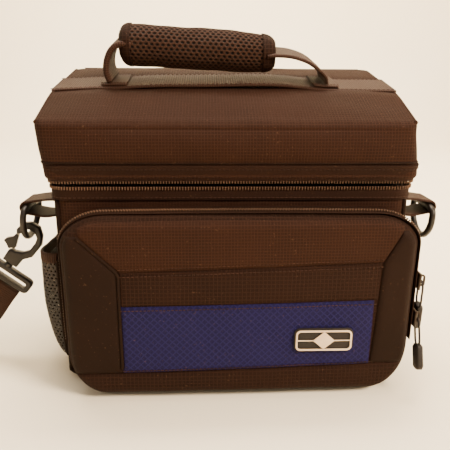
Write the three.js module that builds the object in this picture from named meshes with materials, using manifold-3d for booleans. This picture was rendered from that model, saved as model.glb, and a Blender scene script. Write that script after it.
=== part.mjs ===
// A small padded shoulder bag for a camera: a box-shaped body with a hinged, zipped lid, a carry
// handle, a zipped front pocket, side mesh pockets and a clip-on shoulder strap.
// Millimetres. X is to the bag's right as seen from the front, the front faces -Y, +Z is up.
// The origin is the centre of the body's base.
import * as THREE from "three";
import { mergeVertices } from "three/addons/utils/BufferGeometryUtils.js";
import Module from "manifold-3d";

// Body
const BODY_WIDTH = 244;
const BODY_DEPTH = 126;
const BODY_HEIGHT = 145;
const BASE_THICKNESS = 9;
const WALL = 9;
const BODY_CORNER = 13;
const BOARD_THICKNESS = 4;
const DIVIDER_X = 45;
const DIVIDER_THICKNESS = 8;
const DIVIDER_HEIGHT = 104;

// Lid: how far it stands over the body, and each height counted from the one below
const LID_OVER_SIDES = 3.5;
const LID_OVER_FRONT = 3;
const LID_LIFT = 5;
const LID_SKIRT = 11.5;
const SKIRT_TAPER = 3;
const LID_FRONT = 25.5;
const LID_SLOPE_RUN = 47;
const LID_SLOPE_RISE = 18;
const LID_TOP_RISE = 17;
const LID_CORNER = 9;
const LID_WALL = 8;

// Zips
const TAPE = 1;
const COIL = 1.6;
const COIL_WIDTH = 2.3;
const ZIP_END_INSET = 13;

// Front pocket
const POCKET_SIDE_INSET = 4;
const POCKET_SHIFT = 5;
const POCKET_RIM_GAP = 13;
const POCKET_BOTTOM = 2;
const POCKET_DEPTH = 14;
const POCKET_WALL = 5;
const PANEL_THICKNESS = 10;
const FACING = 1.2;
const BAND_BOTTOM = 22;
const SLIP_HEIGHT = 25;
const SLIP_BELOW_TOP = 35;
const LEFT_SEAM_INSET = 38;
const RIGHT_SEAM_INSET = 24.5;
const BADGE_WIDTH = 40;
const BADGE_HEIGHT = 17;
const BADGE_INSET = 62;

// Webbing, handle and rings
const WEBBING_WIDTH = 38;
const WEBBING = 2;
const WEBBING_Y = 4;
const GRIP_START = -79;
const GRIP_END = 32;
const LEG_WIDTH = 30;
const RIGHT_LEG_RUN = 40;
const TAB_WIDTH = 25;
const TAB_REACH = 27;
const RING_Y = -20;
const RING_BELOW_RIM = 22;
const RING_BAR = 2.4;
const RING_DROP = 24.5;

// Shoulder strap
const STRAP_WIDTH = 38;
const STRAP = 2.2;
const ROLL_RADIUS = 72;
const ROLL_X = -284;
const ROLL_Y = 54;

const GAP = 0.3;

const LOOKS = {
  fabric: [0x3a2a24, 0.9, 0],
  padding: [0x453029, 0.92, 0],
  lining: [0x2e2724, 0.95, 0],
  webbing: [0x4a3528, 0.8, 0],
  mesh: [0x241a16, 0.85, 0],
  blue: [0x26264f, 0.75, 0],
  zip: [0x33241d, 0.6, 0],
  plastic: [0x1c1512, 0.35, 0],
  metal: [0x3a302a, 0.35, 0.9],
  rubber: [0x2b1d14, 0.6, 0],
  emblem: [0xe0cdb6, 0.5, 0],
};

const wasm = await Module();
wasm.setup();
const group = new THREE.Group();

// ---- helpers ----

function add(name, look, geometry) {
  const [color, roughness, metalness] = LOOKS[look];
  const material = new THREE.MeshStandardMaterial({ color, roughness, metalness });
  const mesh = new THREE.Mesh(geometry, material);
  mesh.name = name;
  group.add(mesh);
  return mesh;
}

function arc(cx, cy, rx, ry, from, to, steps = 5) {
  const points = [];
  for (let i = 0; i <= steps; i++) {
    const a = THREE.MathUtils.degToRad(from + ((to - from) * i) / steps);
    points.push([cx + rx * Math.cos(a), cy + ry * Math.sin(a)]);
  }
  return points;
}

function roundRect(u0, v0, u1, v1, r, steps = 5) {
  return [
    ...arc(u1 - r, v0 + r, r, r, -90, 0, steps),
    ...arc(u1 - r, v1 - r, r, r, 0, 90, steps),
    ...arc(u0 + r, v1 - r, r, r, 90, 180, steps),
    ...arc(u0 + r, v0 + r, r, r, 180, 270, steps),
  ];
}

// Where an outline is drawn: its own axes are u, v and its thickness w.
function onXY(z) {
  return new THREE.Matrix4().makeTranslation(0, 0, z);
}

function onYZ(x) {
  const turn = new THREE.Matrix4().makeBasis(
    new THREE.Vector3(0, 1, 0),
    new THREE.Vector3(0, 0, 1),
    new THREE.Vector3(1, 0, 0),
  );
  return turn.premultiply(new THREE.Matrix4().makeTranslation(x, 0, 0));
}

function onXZ(y) {
  const turn = new THREE.Matrix4().makeBasis(
    new THREE.Vector3(1, 0, 0),
    new THREE.Vector3(0, 0, 1),
    new THREE.Vector3(0, -1, 0),
  );
  return turn.premultiply(new THREE.Matrix4().makeTranslation(0, y, 0));
}

// A closed solid through copies of one counter-clockwise outline. Each layer is [inset, w].
function loft(outline, layers, place) {
  const n = outline.length;
  const at = (i) => outline[(i + n) % n];
  const outward = outline.map((_, i) => {
    const run = [at(i + 1)[0] - at(i - 1)[0], at(i + 1)[1] - at(i - 1)[1]];
    const length = Math.hypot(run[0], run[1]);
    return [run[1] / length, -run[0] / length];
  });
  const rings = layers.map(([inset, w]) =>
    outline.map(([u, v], i) => [u - outward[i][0] * inset, v - outward[i][1] * inset, w]),
  );
  const index = [];
  for (let k = 0; k + 1 < rings.length; k++) {
    for (let i = 0; i < n; i++) {
      const a = k * n + i;
      const b = k * n + ((i + 1) % n);
      index.push(a, b, b + n, a, b + n, a + n);
    }
  }
  const cap = (ring, flip) => {
    const contour = rings[ring].map(([u, v]) => new THREE.Vector2(u, v));
    for (const [a, b, c] of THREE.ShapeUtils.triangulateShape(contour, [])) {
      const face = flip ? [a, c, b] : [a, b, c];
      index.push(...face.map((j) => j + ring * n));
    }
  };
  cap(0, true);
  cap(rings.length - 1, false);
  const geometry = new THREE.BufferGeometry();
  geometry.setAttribute("position", new THREE.Float32BufferAttribute(rings.flat(2), 3));
  geometry.setIndex(index);
  return geometry.applyMatrix4(place);
}

// A plate of even thickness with its rims eased by a small chamfer.
function plate(outline, thickness, ease, place) {
  const layers = [
    [ease, 0],
    [0, ease],
    [0, thickness - ease],
    [ease, thickness],
  ];
  const even = [
    [0, 0],
    [0, thickness],
  ];
  return loft(outline, ease > 0 ? layers : even, place);
}

function block(x0, y0, z0, x1, y1, z1) {
  const geometry = new THREE.BoxGeometry(x1 - x0, y1 - y0, z1 - z0);
  return geometry.translate((x0 + x1) / 2, (y0 + y1) / 2, (z0 + z1) / 2);
}

function solid(geometry) {
  const bare = geometry.clone();
  bare.deleteAttribute("normal");
  bare.deleteAttribute("uv");
  const merged = mergeVertices(bare, 1e-3);
  return new wasm.Manifold(
    new wasm.Mesh({
      numProp: 3,
      vertProperties: merged.attributes.position.array,
      triVerts: new Uint32Array(merged.index.array),
    }),
  );
}

function geometryOf(manifold) {
  const { vertProperties, triVerts } = manifold.getMesh();
  const geometry = new THREE.BufferGeometry();
  geometry.setAttribute("position", new THREE.BufferAttribute(vertProperties, 3));
  geometry.setIndex(new THREE.BufferAttribute(triVerts, 1));
  return geometry;
}

function cut(base, ...tools) {
  return geometryOf(tools.reduce((left, tool) => left.subtract(solid(tool)), solid(base)));
}

function join(...pieces) {
  return geometryOf(pieces.slice(1).reduce((sum, piece) => sum.add(solid(piece)), solid(pieces[0])));
}

function common(...pieces) {
  return geometryOf(pieces.slice(1).reduce((left, piece) => left.intersect(solid(piece)), solid(pieces[0])));
}

function ringTube(points, radius, steps = 40) {
  const path = new THREE.CatmullRomCurve3(
    points.map((p) => new THREE.Vector3(...p)),
    true,
    "centripetal",
  );
  const tube = new THREE.TubeGeometry(path, steps, radius, 10, true);
  tube.deleteAttribute("normal");
  tube.deleteAttribute("uv");
  return mergeVertices(tube, 1e-3);
}

// A flat strap's route, with the strap's width kept as upright as the route lets it be.
class StrapPath extends THREE.CatmullRomCurve3 {
  computeFrenetFrames(segments) {
    const tangents = [];
    const normals = [];
    const binormals = [];
    for (let i = 0; i <= segments; i++) {
      const tangent = this.getTangentAt(i / segments);
      const across = new THREE.Vector3(0, 0, 1).addScaledVector(tangent, -tangent.z).normalize();
      tangents.push(tangent);
      binormals.push(across);
      normals.push(new THREE.Vector3().crossVectors(across, tangent));
    }
    return { tangents, normals, binormals };
  }
}

function strap(points, steps) {
  const section = roundRect(-STRAP / 2, -STRAP_WIDTH / 2, STRAP / 2, STRAP_WIDTH / 2, 0.8, 1);
  const shape = new THREE.Shape(section.map(([u, v]) => new THREE.Vector2(u, v)));
  const path = new StrapPath(points.map((p) => new THREE.Vector3(...p)));
  return new THREE.ExtrudeGeometry(shape, { steps, bevelEnabled: false, extrudePath: path });
}

function rect(half, depth, r, grow = 0) {
  return roundRect(-half - grow, -depth - grow, half + grow, depth + grow, r + grow);
}

// ---- body ----

const bodyX = BODY_WIDTH / 2;
const bodyY = BODY_DEPTH / 2;
const wallBottom = BASE_THICKNESS + GAP;

const baseLayers = [
  [3, 0],
  [0.8, 1.4],
  [0, 4],
  [0, BASE_THICKNESS],
];
add("base_panel", "fabric", loft(rect(bodyX, bodyY, BODY_CORNER), baseLayers, onXY(0)));

// The four sides of a box, cut from one hollow shell with a small gap between neighbours.
function sides(shell, innerX, innerY) {
  const far = 400;
  return {
    front: common(shell, block(-far, -far, -far, far, -innerY + GAP, far)),
    back: common(shell, block(-far, innerY - GAP, -far, far, far, far)),
    left: common(shell, block(-far, -innerY + 2 * GAP, -far, 0, innerY - 2 * GAP, far)),
    right: common(shell, block(0, -innerY + 2 * GAP, -far, far, innerY - 2 * GAP, far)),
  };
}

const bodyShell = cut(
  plate(rect(bodyX, bodyY, BODY_CORNER), BODY_HEIGHT - wallBottom, 0, onXY(wallBottom)),
  plate(rect(bodyX - WALL, bodyY - WALL, 4), BODY_HEIGHT, 0, onXY(0)),
);
for (const [side, geometry] of Object.entries(sides(bodyShell, bodyX - WALL, bodyY - WALL))) {
  add("wall_" + side, "fabric", geometry);
}

const boardOutline = rect(bodyX - WALL - 1, bodyY - WALL - 1, 5);
add("floor_board", "lining", plate(boardOutline, BOARD_THICKNESS, 0.8, onXY(wallBottom)));

const dividerHalf = bodyY - WALL - 0.8;
const dividerZ = wallBottom + BOARD_THICKNESS + 0.7;
for (const [side, sign] of [["left", -1], ["right", 1]]) {
  const outline = roundRect(-dividerHalf, dividerZ, dividerHalf, dividerZ + DIVIDER_HEIGHT, 10);
  const x = sign * DIVIDER_X - DIVIDER_THICKNESS / 2;
  add("divider_" + side, "lining", plate(outline, DIVIDER_THICKNESS, 2, onYZ(x)));
}

// A zip half that runs round the front and both sides, open at the back: its tape, with the coil
// standing out along one edge.
const zipBackY = bodyY - ZIP_END_INSET;

function zipHalf(tape, coil) {
  const open = block(-300, zipBackY, 0, 300, 300, 300);
  return cut(join(tape, coil), open);
}

function band(half, depth, r, grow, thickness, z0, z1) {
  return cut(
    plate(rect(half, depth, r, grow + thickness), z1 - z0, 0, onXY(z0)),
    plate(rect(half, depth, r, grow), z1 - z0 + 2, 0, onXY(z0 - 1)),
  );
}

const rimTop = BODY_HEIGHT + 1;
const rimTape = band(bodyX, bodyY, BODY_CORNER, GAP, TAPE, BODY_HEIGHT - 8.5, rimTop);
const rimCoil = band(bodyX, bodyY, BODY_CORNER, GAP, TAPE + COIL, rimTop - COIL_WIDTH, rimTop);
add("rim_zip", "zip", zipHalf(rimTape, rimCoil));

const stripOutline = roundRect(bodyY + GAP, BODY_HEIGHT - 25, bodyY + 1.5, rimTop + 0.6, 0.5, 1);
const stripHalf = bodyX - 17;
const hingeStrip = plate(stripOutline, 2 * stripHalf, 0, onYZ(-stripHalf));
add("hinge_strip", "fabric", hingeStrip);

// ---- lid ----

const lidX = bodyX + LID_OVER_SIDES;
const lidY = bodyY + LID_OVER_FRONT;
const lidBottom = BODY_HEIGHT + LID_LIFT;
const lidSeam = lidBottom + LID_SKIRT;
const lidFold = lidSeam + LID_FRONT;
const breakY = LID_SLOPE_RUN - lidY;
const breakZ = lidFold + LID_SLOPE_RISE;
const lidTop = breakZ + LID_TOP_RISE;
const slopeFront = LID_SLOPE_RISE / LID_SLOPE_RUN;
const slopeTop = LID_TOP_RISE / (lidY - breakY);

// The space under the lid's two-slope roof, or under a copy of the roof some way below it.
function roof(drop, floor) {
  const past = 20;
  const profile = [
    [-lidY - past, floor],
    [lidY + past, floor],
    [lidY + past, lidTop + past * slopeTop - drop],
    [breakY, breakZ - drop],
    [-lidY - past, lidFold - past * slopeFront - drop],
  ];
  return plate(profile, 2 * lidX + 40, 0, onYZ(-lidX - 20));
}

const lidLayers = [
  [SKIRT_TAPER, lidBottom],
  [0, lidSeam],
  [0, lidFold],
  [2.4, lidTop + 2],
];
const foldEase = [
  [-lidY - 1, lidFold - 1.5],
  [-lidY + 3.5, lidFold + 1.5],
  [-lidY - 1, lidFold + 30],
  [-lidY - 30, lidFold + 30],
  [-lidY - 30, lidFold - 1.5],
];
const lidOuter = cut(
  common(loft(rect(lidX, lidY, LID_CORNER), lidLayers, onXY(0)), roof(0, 0)),
  plate(foldEase, 2 * lidX + 40, 0, onYZ(-lidX - 20)),
);
add("lid_top", "padding", common(lidOuter, cut(roof(0, 0), roof(LID_WALL, -40))));

const lidInnerX = lidX - LID_WALL - 3;
const lidInnerY = lidY - LID_WALL - 3;
const lidShell = cut(
  common(lidOuter, roof(LID_WALL + GAP, 0)),
  plate(rect(lidInnerX, lidInnerY, 4), lidTop, 0, onXY(lidBottom - 20)),
);
const lidSides = sides(lidShell, lidInnerX, lidInnerY);
for (const [side, geometry] of Object.entries(lidSides)) {
  add("lid_" + side, "padding", geometry);
}

// The tape lies on the skirt, so it tapers as the skirt does.
function skirtInset(z) {
  return [((lidSeam - z) / LID_SKIRT) * SKIRT_TAPER, z];
}

const lidTapeLayers = [skirtInset(lidBottom - 0.8), skirtInset(lidSeam - GAP)];
const lidTapeHole = [skirtInset(lidBottom - 3), skirtInset(lidSeam + 1)];
const lidTape = cut(
  loft(rect(lidX, lidY, LID_CORNER, GAP + TAPE), lidTapeLayers, onXY(0)),
  loft(rect(lidX, lidY, LID_CORNER, GAP), lidTapeHole, onXY(0)),
);
const coilFoot = lidBottom - GAP - COIL_WIDTH;
const coilX = lidX - SKIRT_TAPER;
const coilY = lidY - SKIRT_TAPER;
const coilCorner = LID_CORNER - SKIRT_TAPER;
const lidCoil = band(coilX, coilY, coilCorner, 0.1, 2.4, coilFoot, lidBottom - GAP);
add("lid_zip", "zip", zipHalf(lidTape, lidCoil));

// The roof's upper slope, as a local frame for the webbing and the handle.
const roofAngle = Math.atan(slopeTop);
const webbingZ = breakZ + (WEBBING_Y - breakY) * slopeTop;
const onRoof = new THREE.Matrix4()
  .makeRotationX(roofAngle)
  .premultiply(new THREE.Matrix4().makeTranslation(0, WEBBING_Y, webbingZ));

function onRoofSide(place) {
  return place.premultiply(onRoof);
}

const webbingHalf = WEBBING_WIDTH / 2;
const webbingProfile = roundRect(-webbingHalf, GAP, webbingHalf, GAP + WEBBING, 0.6, 1);
add("lid_webbing", "webbing", plate(webbingProfile, 2 * lidX - 6, 0, onRoofSide(onYZ(3 - lidX))));

// ---- handle ----

const gripLayers = [
  [7, GRIP_START],
  [2, GRIP_START + 3],
  [0, GRIP_START + 10],
  [0, GRIP_END - 24],
  [2, GRIP_END - 8],
  [4, GRIP_END - 2],
  [8, GRIP_END],
];
const gripOutline = arc(0, 26, 17, 14.5, 0, 340, 17);
const grip = loft(gripOutline, gripLayers, onYZ(0));
const droop = new THREE.Matrix4().set(1, 0, 0, 0, 0, 1, 0, 0, -0.055, 0, 1, -1.5, 0, 0, 0, 1);
add("handle_grip", "mesh", grip.applyMatrix4(droop).applyMatrix4(onRoof));

// Each webbing leg is a bent ribbon, drawn from the side and as wide as the webbing.
const legHalf = LEG_WIDTH / 2;
const legFoot = WEBBING + 6;
const legLeft = GRIP_START - 7;
const legRight = GRIP_END + RIGHT_LEG_RUN;
const leftLeg = [
  [legLeft, legFoot],
  [legLeft + 2.4, legFoot],
  [GRIP_START - GAP - 0.5, 20],
  [GRIP_START - GAP - 0.5, 36],
  [GRIP_START - GAP - 3, 36],
  [legLeft - 0.6, 22],
];
const rightLeg = [
  [legRight - 3.4, legFoot],
  [legRight, legFoot],
  [legRight - 5, 13],
  [legRight - 14, 21],
  [GRIP_END + 12, 26.5],
  [GRIP_END + GAP + 0.5, 28],
  [GRIP_END + GAP + 0.5, 18],
  [GRIP_END + 12, 18.5],
  [legRight - 16, 15.5],
];
add("handle_leg_left", "webbing", plate(leftLeg, 2 * legHalf, 0, onRoofSide(onXZ(legHalf))));
add("handle_leg_right", "webbing", plate(rightLeg, 2 * legHalf, 0, onRoofSide(onXZ(legHalf))));

// ---- front pocket ----

const pocketX = bodyX - POCKET_SIDE_INSET;
const pocketTop = BODY_HEIGHT - POCKET_RIM_GAP;
const pocketBackY = -bodyY - GAP;
const pocketSplitY = -bodyY - POCKET_DEPTH;

function pocketOutline(grow = 0) {
  const centred = [
    ...arc(pocketX - 26, POCKET_BOTTOM + 34, 26 + grow, 34 + grow, -90, 0, 7),
    ...arc(pocketX - 30, pocketTop - 21.5, 30 + grow, 20 + grow, 0, 90, 7),
    [43, pocketTop - 0.4 + grow],
    [0, pocketTop + grow],
    [-43, pocketTop - 0.4 + grow],
    ...arc(30 - pocketX, pocketTop - 21.5, 30 + grow, 20 + grow, 90, 180, 7),
    ...arc(26 - pocketX, POCKET_BOTTOM + 34, 26 + grow, 34 + grow, 180, 270, 7),
  ];
  return centred.map(([u, v]) => [u + POCKET_SHIFT, v]);
}

function pocketRing(grow, thickness, y0, y1) {
  return cut(
    plate(pocketOutline(grow), y0 - y1, 0, onXZ(y0)),
    plate(pocketOutline(grow - thickness), y0 - y1 + 2, 0, onXZ(y0 + 1)),
  );
}

const far = 400;
const gusset = pocketRing(0, POCKET_WALL, pocketBackY, pocketSplitY + GAP / 2);
const gussetHigh = pocketTop - 35;
const gussetLow = POCKET_BOTTOM + 36;
add("gusset_top", "fabric", common(gusset, block(-far, -far, gussetHigh, far, 0, far)));
add("gusset_bottom", "fabric", common(gusset, block(-far, -far, 0, far, 0, gussetLow)));
for (const [side, x0, x1] of [["left", -far, 0], ["right", 0, far]]) {
  const span = block(x0, -far, gussetLow + GAP, x1, 0, gussetHigh - GAP);
  add("gusset_" + side, "fabric", common(gusset, span));
}

// The pocket's zip stops short of the bottom on both sides.
function pocketZip(tapeY0, tapeY1, coilY0, coilY1) {
  const tape = pocketRing(GAP + TAPE, TAPE, tapeY0, tapeY1);
  const coil = pocketRing(GAP + TAPE + COIL, TAPE + COIL, coilY0, coilY1);
  return cut(join(tape, coil), block(-far, -far, -20, far, 0, gussetLow));
}

const coilNear = pocketSplitY + 0.2;
const coilFar = pocketSplitY - 0.2;
const outerZip = pocketZip(pocketBackY - 3, coilNear, coilNear + COIL_WIDTH, coilNear);
add("pocket_zip_outer", "zip", outerZip);
const innerZip = pocketZip(coilFar, coilFar - 5, coilFar, coilFar - COIL_WIDTH);
add("pocket_zip_inner", "zip", innerZip);

const panelY = pocketSplitY - GAP / 2;
const panelLayers = [
  [0, 0],
  [0, PANEL_THICKNESS - 5],
  [3, PANEL_THICKNESS - 2],
  [7, PANEL_THICKNESS],
];
add("pocket_panel", "padding", loft(pocketOutline(), panelLayers, onXZ(panelY)));

const faceY = panelY - PANEL_THICKNESS - GAP;

// A facing is the part of the pocket's face inside one region, drawn in X and Z.
function facing(name, look, region, thickness) {
  const face = loft(pocketOutline(), [[8, 0], [8, thickness]], onXZ(faceY));
  add(name, look, common(face, plate(region, 40, 0, onXZ(faceY + 20))));
}

const leftSeam = POCKET_SHIFT + LEFT_SEAM_INSET - pocketX;
const rightSeam = POCKET_SHIFT + pocketX - RIGHT_SEAM_INSET;
const slipTop = pocketTop - SLIP_BELOW_TOP;
const bandTop = slipTop - SLIP_HEIGHT;
const seam = 0.4;
const run = 60;
facing("facing_left", "fabric", [
  [-far, BAND_BOTTOM],
  [leftSeam, BAND_BOTTOM],
  [leftSeam, slipTop - 1],
  [leftSeam - run, slipTop - 1 + run],
  [-far, slipTop - 1 + run],
], FACING);
facing("facing_upper", "fabric", [
  [leftSeam + seam, slipTop],
  [rightSeam, slipTop + 2],
  [rightSeam + run, slipTop + 2 + run],
  [rightSeam + run, far],
  [leftSeam - run, far],
  [leftSeam - run + seam, slipTop + run],
], FACING);
facing("facing_right", "fabric", [
  [rightSeam - 4, BAND_BOTTOM],
  [far, BAND_BOTTOM],
  [far, slipTop + 1.4 + run],
  [rightSeam + 0.6 + run, slipTop + 1.8 + run],
  [rightSeam + 0.6, slipTop + 1.8],
  [rightSeam - 0.4, bandTop],
], FACING);
facing("facing_bottom", "fabric", [
  [-far, -10],
  [far, -10],
  [far, BAND_BOTTOM - seam],
  [-far, BAND_BOTTOM - seam],
], FACING);
facing("slip_band", "fabric", [
  [leftSeam + seam, bandTop + seam],
  [rightSeam - 0.8, bandTop + seam],
  [rightSeam + 0.2, slipTop + 1.6],
  [leftSeam + seam, slipTop - seam],
], FACING);
facing("blue_band", "blue", [
  [leftSeam + seam, BAND_BOTTOM],
  [rightSeam - 4.4, BAND_BOTTOM],
  [rightSeam - 0.9, bandTop],
  [leftSeam + seam, bandTop],
], FACING + 0.8);

const badgeY = faceY - FACING - 0.8 - GAP;
const badgeX = POCKET_SHIFT + pocketX - BADGE_INSET;
const badgeZ = (BAND_BOTTOM + bandTop) / 2 - 1;

function badgeRect(inset, r, thickness, y) {
  const u = BADGE_WIDTH / 2 - inset;
  const v = BADGE_HEIGHT / 2 - inset;
  return plate(roundRect(badgeX - u, badgeZ - v, badgeX + u, badgeZ + v, r), thickness, 0, onXZ(y));
}

add("badge_patch", "rubber", badgeRect(0, 4, 1.6, badgeY));
const emblemY = badgeY - 1.6 - GAP;
const emblemRim = cut(badgeRect(1, 3.2, 0.7, emblemY), badgeRect(2.2, 2.2, 3, emblemY + 1));
const markU = BADGE_WIDTH / 2 - 2;
const markV = BADGE_HEIGHT / 2 - 2;
const emblemMark = [
  [-markU, -0.3],
  [-7, -0.3],
  [0, -markV],
  [7, -0.3],
  [markU, -0.3],
  [markU, 0.3],
  [7, 0.3],
  [0, markV],
  [-7, 0.3],
  [-markU, 0.3],
].map(([u, v]) => [badgeX + u, badgeZ + v]);
add("badge_emblem", "emblem", join(emblemRim, plate(emblemMark, 0.7, 0, onXZ(emblemY))));

// ---- mesh side pockets ----

const ringX = bodyX + TAB_REACH;
const ringZ = BODY_HEIGHT - RING_BELOW_RIM;
const meshTop = ringZ - RING_DROP - RING_BAR - 1.1;
const meshY0 = 7 - bodyY;
const meshY1 = bodyY - 17;
const meshLayers = [
  [8, 0],
  [1, 11],
  [2, 17],
  [9, 22],
];
const meshInnerLayers = [
  [8, -1],
  [1, 10.6],
  [2, 16],
  [9, 20.6],
];
const meshMouth = [
  [-10, meshTop],
  [17, meshTop],
  [25, meshTop - 21],
  [60, meshTop - 21],
  [60, far],
  [-10, far],
];
const meshRim = meshTop + 35;
const meshPocket = cut(
  loft(roundRect(meshY0, 8, meshY1, meshRim, 16), meshLayers, onYZ(0)),
  loft(roundRect(meshY0 + 1.6, 9.6, meshY1 - 1.6, meshRim - 1.6, 14.4), meshInnerLayers, onYZ(0)),
  plate(meshMouth, 2 * far, 0, onXZ(far)),
);
const rightPocket = meshPocket.clone().translate(bodyX + GAP, 0, 0);
add("mesh_pocket_right", "mesh", rightPocket);
const leftPocket = geometryOf(solid(meshPocket).mirror([1, 0, 0]).translate([-bodyX - GAP, 0, 0]));
add("mesh_pocket_left", "mesh", leftPocket);

// ---- tabs and rings ----

const tabHalf = TAB_WIDTH / 2;
const tabX = bodyX + 1.6;
const tabHole = RING_BAR + 0.8;
const tabOuter = tabHole + WEBBING;

// A loop of webbing that leaves the rim seam, goes round the ring's bar and comes back.
function tab(sign) {
  const outer = [
    [tabX, ringZ + 7.5],
    [tabX, ringZ - 6],
    [tabX + 1.6, ringZ - 6],
    [ringX - 3, ringZ - tabOuter],
    ...arc(ringX, ringZ, tabOuter, tabOuter, -70, 62, 6),
    [ringX - 7, ringZ + 6.5],
    [tabX + 8, ringZ + 7.5],
  ];
  const inner = arc(ringX, ringZ, tabHole, tabHole, 0, 330, 11);
  const loop = cut(
    plate(outer, TAB_WIDTH, 0, onXZ(RING_Y + tabHalf)),
    plate(inner, TAB_WIDTH + 40, 0, onXZ(RING_Y + tabHalf + 20)),
  );
  const made = solid(loop);
  return geometryOf(sign > 0 ? made : made.mirror([1, 0, 0]));
}

add("tab_left", "webbing", tab(-1));
add("tab_right", "webbing", tab(1));

// A D-ring: its straight bar along Y at the top, its bow hanging below.
function dRing(x, lean) {
  const half = tabHalf + 0.5;
  const points = [
    [0, -half, 0],
    [0, 0, 0],
    [0, half, 0],
    [0, half + 4.5, -2],
    [0, half + 5.5, -7],
    [0, half + 3, -15],
    [0, half - 4, 2.5 - RING_DROP],
    [0, 0, -RING_DROP],
    [0, 4 - half, 2.5 - RING_DROP],
    [0, -half - 3, -15],
    [0, -half - 5.5, -7],
    [0, -half - 4.5, -2],
  ];
  const geometry = ringTube(points, RING_BAR);
  return geometry.rotateY(THREE.MathUtils.degToRad(lean)).translate(x, RING_Y, ringZ);
}

const LEFT_LEAN = 8;
add("ring_left", "plastic", dRing(-ringX, LEFT_LEAN));
add("ring_right", "plastic", dRing(ringX, 0));

// ---- zip sliders and pulls ----

const BAIL = 1.2;
const BAIL_TOP = 5.6;
const CORD = 1.5;

// A slider lies flat on the zip: its plate, with a bail that holds the pull.
function slider(outline) {
  const body = plate(outline, 1.8, 0.5, onXY(0));
  const bail = cut(
    plate(roundRect(-4.2, 0, 4.2, BAIL_TOP, 1.8, 3), BAIL, 0, onXZ(BAIL / 2)),
    plate(roundRect(-3, 1.9, 3, BAIL_TOP - BAIL, 0.8, 2), 9, 0, onXZ(4)),
  );
  return join(body, bail);
}

// A pull hangs down: a cord loop, drawn by the points of its right half, and a moulded end.
function pull(length, top, half) {
  const left = half.map(([y, z]) => [0, -y, z]).reverse();
  const right = half.map(([y, z]) => [0, y, z]);
  const loop = ringTube([[0, 0, top], ...right, [0, 0, -length * 0.56], ...left], CORD / 2, 28);
  const endLayers = [
    [1.6, -2.6],
    [0, -1.4],
    [0, 1.4],
    [1.6, 2.6],
  ];
  const outline = roundRect(-4.4, -length, 4.4, -length * 0.5, 3, 3);
  return join(loop, loft(outline, endLayers, onYZ(0)));
}

const sliderX = POCKET_SHIFT + pocketX + GAP + TAPE + COIL + GAP;
const alongSide = new THREE.Matrix4().makeBasis(
  new THREE.Vector3(0, 0, 1),
  new THREE.Vector3(0, 1, 0),
  new THREE.Vector3(-1, 0, 0),
);
const sliderOutline = [
  [-6, -3.2],
  [6, -4.2],
  [6, 4.2],
  [-6, 3.2],
];

// The two pocket pulls share the straight part of the zip, and lie apart: the upper one leans back
// and out, the lower one forward.
const zipStraight = pocketTop - 21.5 - gussetLow;
const pocketPulls = [
  ["upper", gussetLow + 0.6207 * zipStraight, 46, 20, -9],
  ["lower", gussetLow + 0.2345 * zipStraight, 36, -20, 0],
];
for (const [name, z, length, back, out] of pocketPulls) {
  const side = new THREE.Matrix4().makeRotationZ(Math.PI).multiply(alongSide);
  const place = side.premultiply(new THREE.Matrix4().makeTranslation(sliderX, pocketSplitY, z));
  add("slider_pocket_" + name, "metal", slider(sliderOutline).applyMatrix4(place));
  const half = [
    [3.1, -2],
    [3.7, -length / 4],
    [3, -length / 2],
  ];
  const puller = pull(length, 0, half)
    .rotateX(THREE.MathUtils.degToRad(back))
    .rotateY(THREE.MathUtils.degToRad(out))
    .translate(sliderX + 3.1, pocketSplitY, z);
  add("pull_pocket_" + name, "rubber", puller);
}

const mainZipX = bodyX + GAP + TAPE + COIL + GAP;
const mainSliderY = zipBackY - 16;
const mainZ = (rimTop + coilFoot) / 2 + 0.1;

// The main pulls hang from the bail's outer bar, and the cord goes round it with room to turn.
const bailBar = BAIL_TOP - BAIL / 2;
const turn = BAIL / 2 + CORD / 2 + 2 * GAP;
const mainPullLength = 16;
const mainHalf = [
  [turn * 0.7, turn * 0.7],
  [turn, 0],
  [turn, -3.6],
  [turn + 0.9, -mainPullLength / 2],
];
for (const [side, sign] of [["left", -1], ["right", 1]]) {
  const frame = new THREE.Matrix4().makeBasis(
    new THREE.Vector3(0, sign, 0),
    new THREE.Vector3(0, 0, 1),
    new THREE.Vector3(sign, 0, 0),
  );
  const place = frame.premultiply(
    new THREE.Matrix4().makeTranslation(sign * mainZipX, mainSliderY, mainZ),
  );
  add("slider_main_" + side, "metal", slider(sliderOutline).applyMatrix4(place));
  const puller = pull(mainPullLength, turn, mainHalf)
    .rotateZ(Math.PI / 2)
    .translate(sign * (mainZipX + bailBar), mainSliderY, mainZ);
  add("pull_main_" + side, "rubber", puller);
}

// ---- strap hooks ----

// A swivel hook, drawn with its strap bar at the origin and its nose towards +X, flat in XY.
const HOOK_LENGTH = 50;
const SWIVEL_X = 11;
const baseHalf = STRAP_WIDTH / 2 + 5;

function hookBase() {
  const frame = cut(
    plate(roundRect(-4, -baseHalf, 8.5, baseHalf, 4), 6, 1, onXY(-3)),
    plate(roundRect(-0.6, 4 - baseHalf, 4.6, baseHalf - 4, 1.4, 2), 12, 0, onXY(-6)),
  );
  const stem = loft(arc(0, 0, 3, 3, 0, 330, 11), [[0, 0], [0, 3.2]], onYZ(7.8));
  return join(frame, stem);
}

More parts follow.
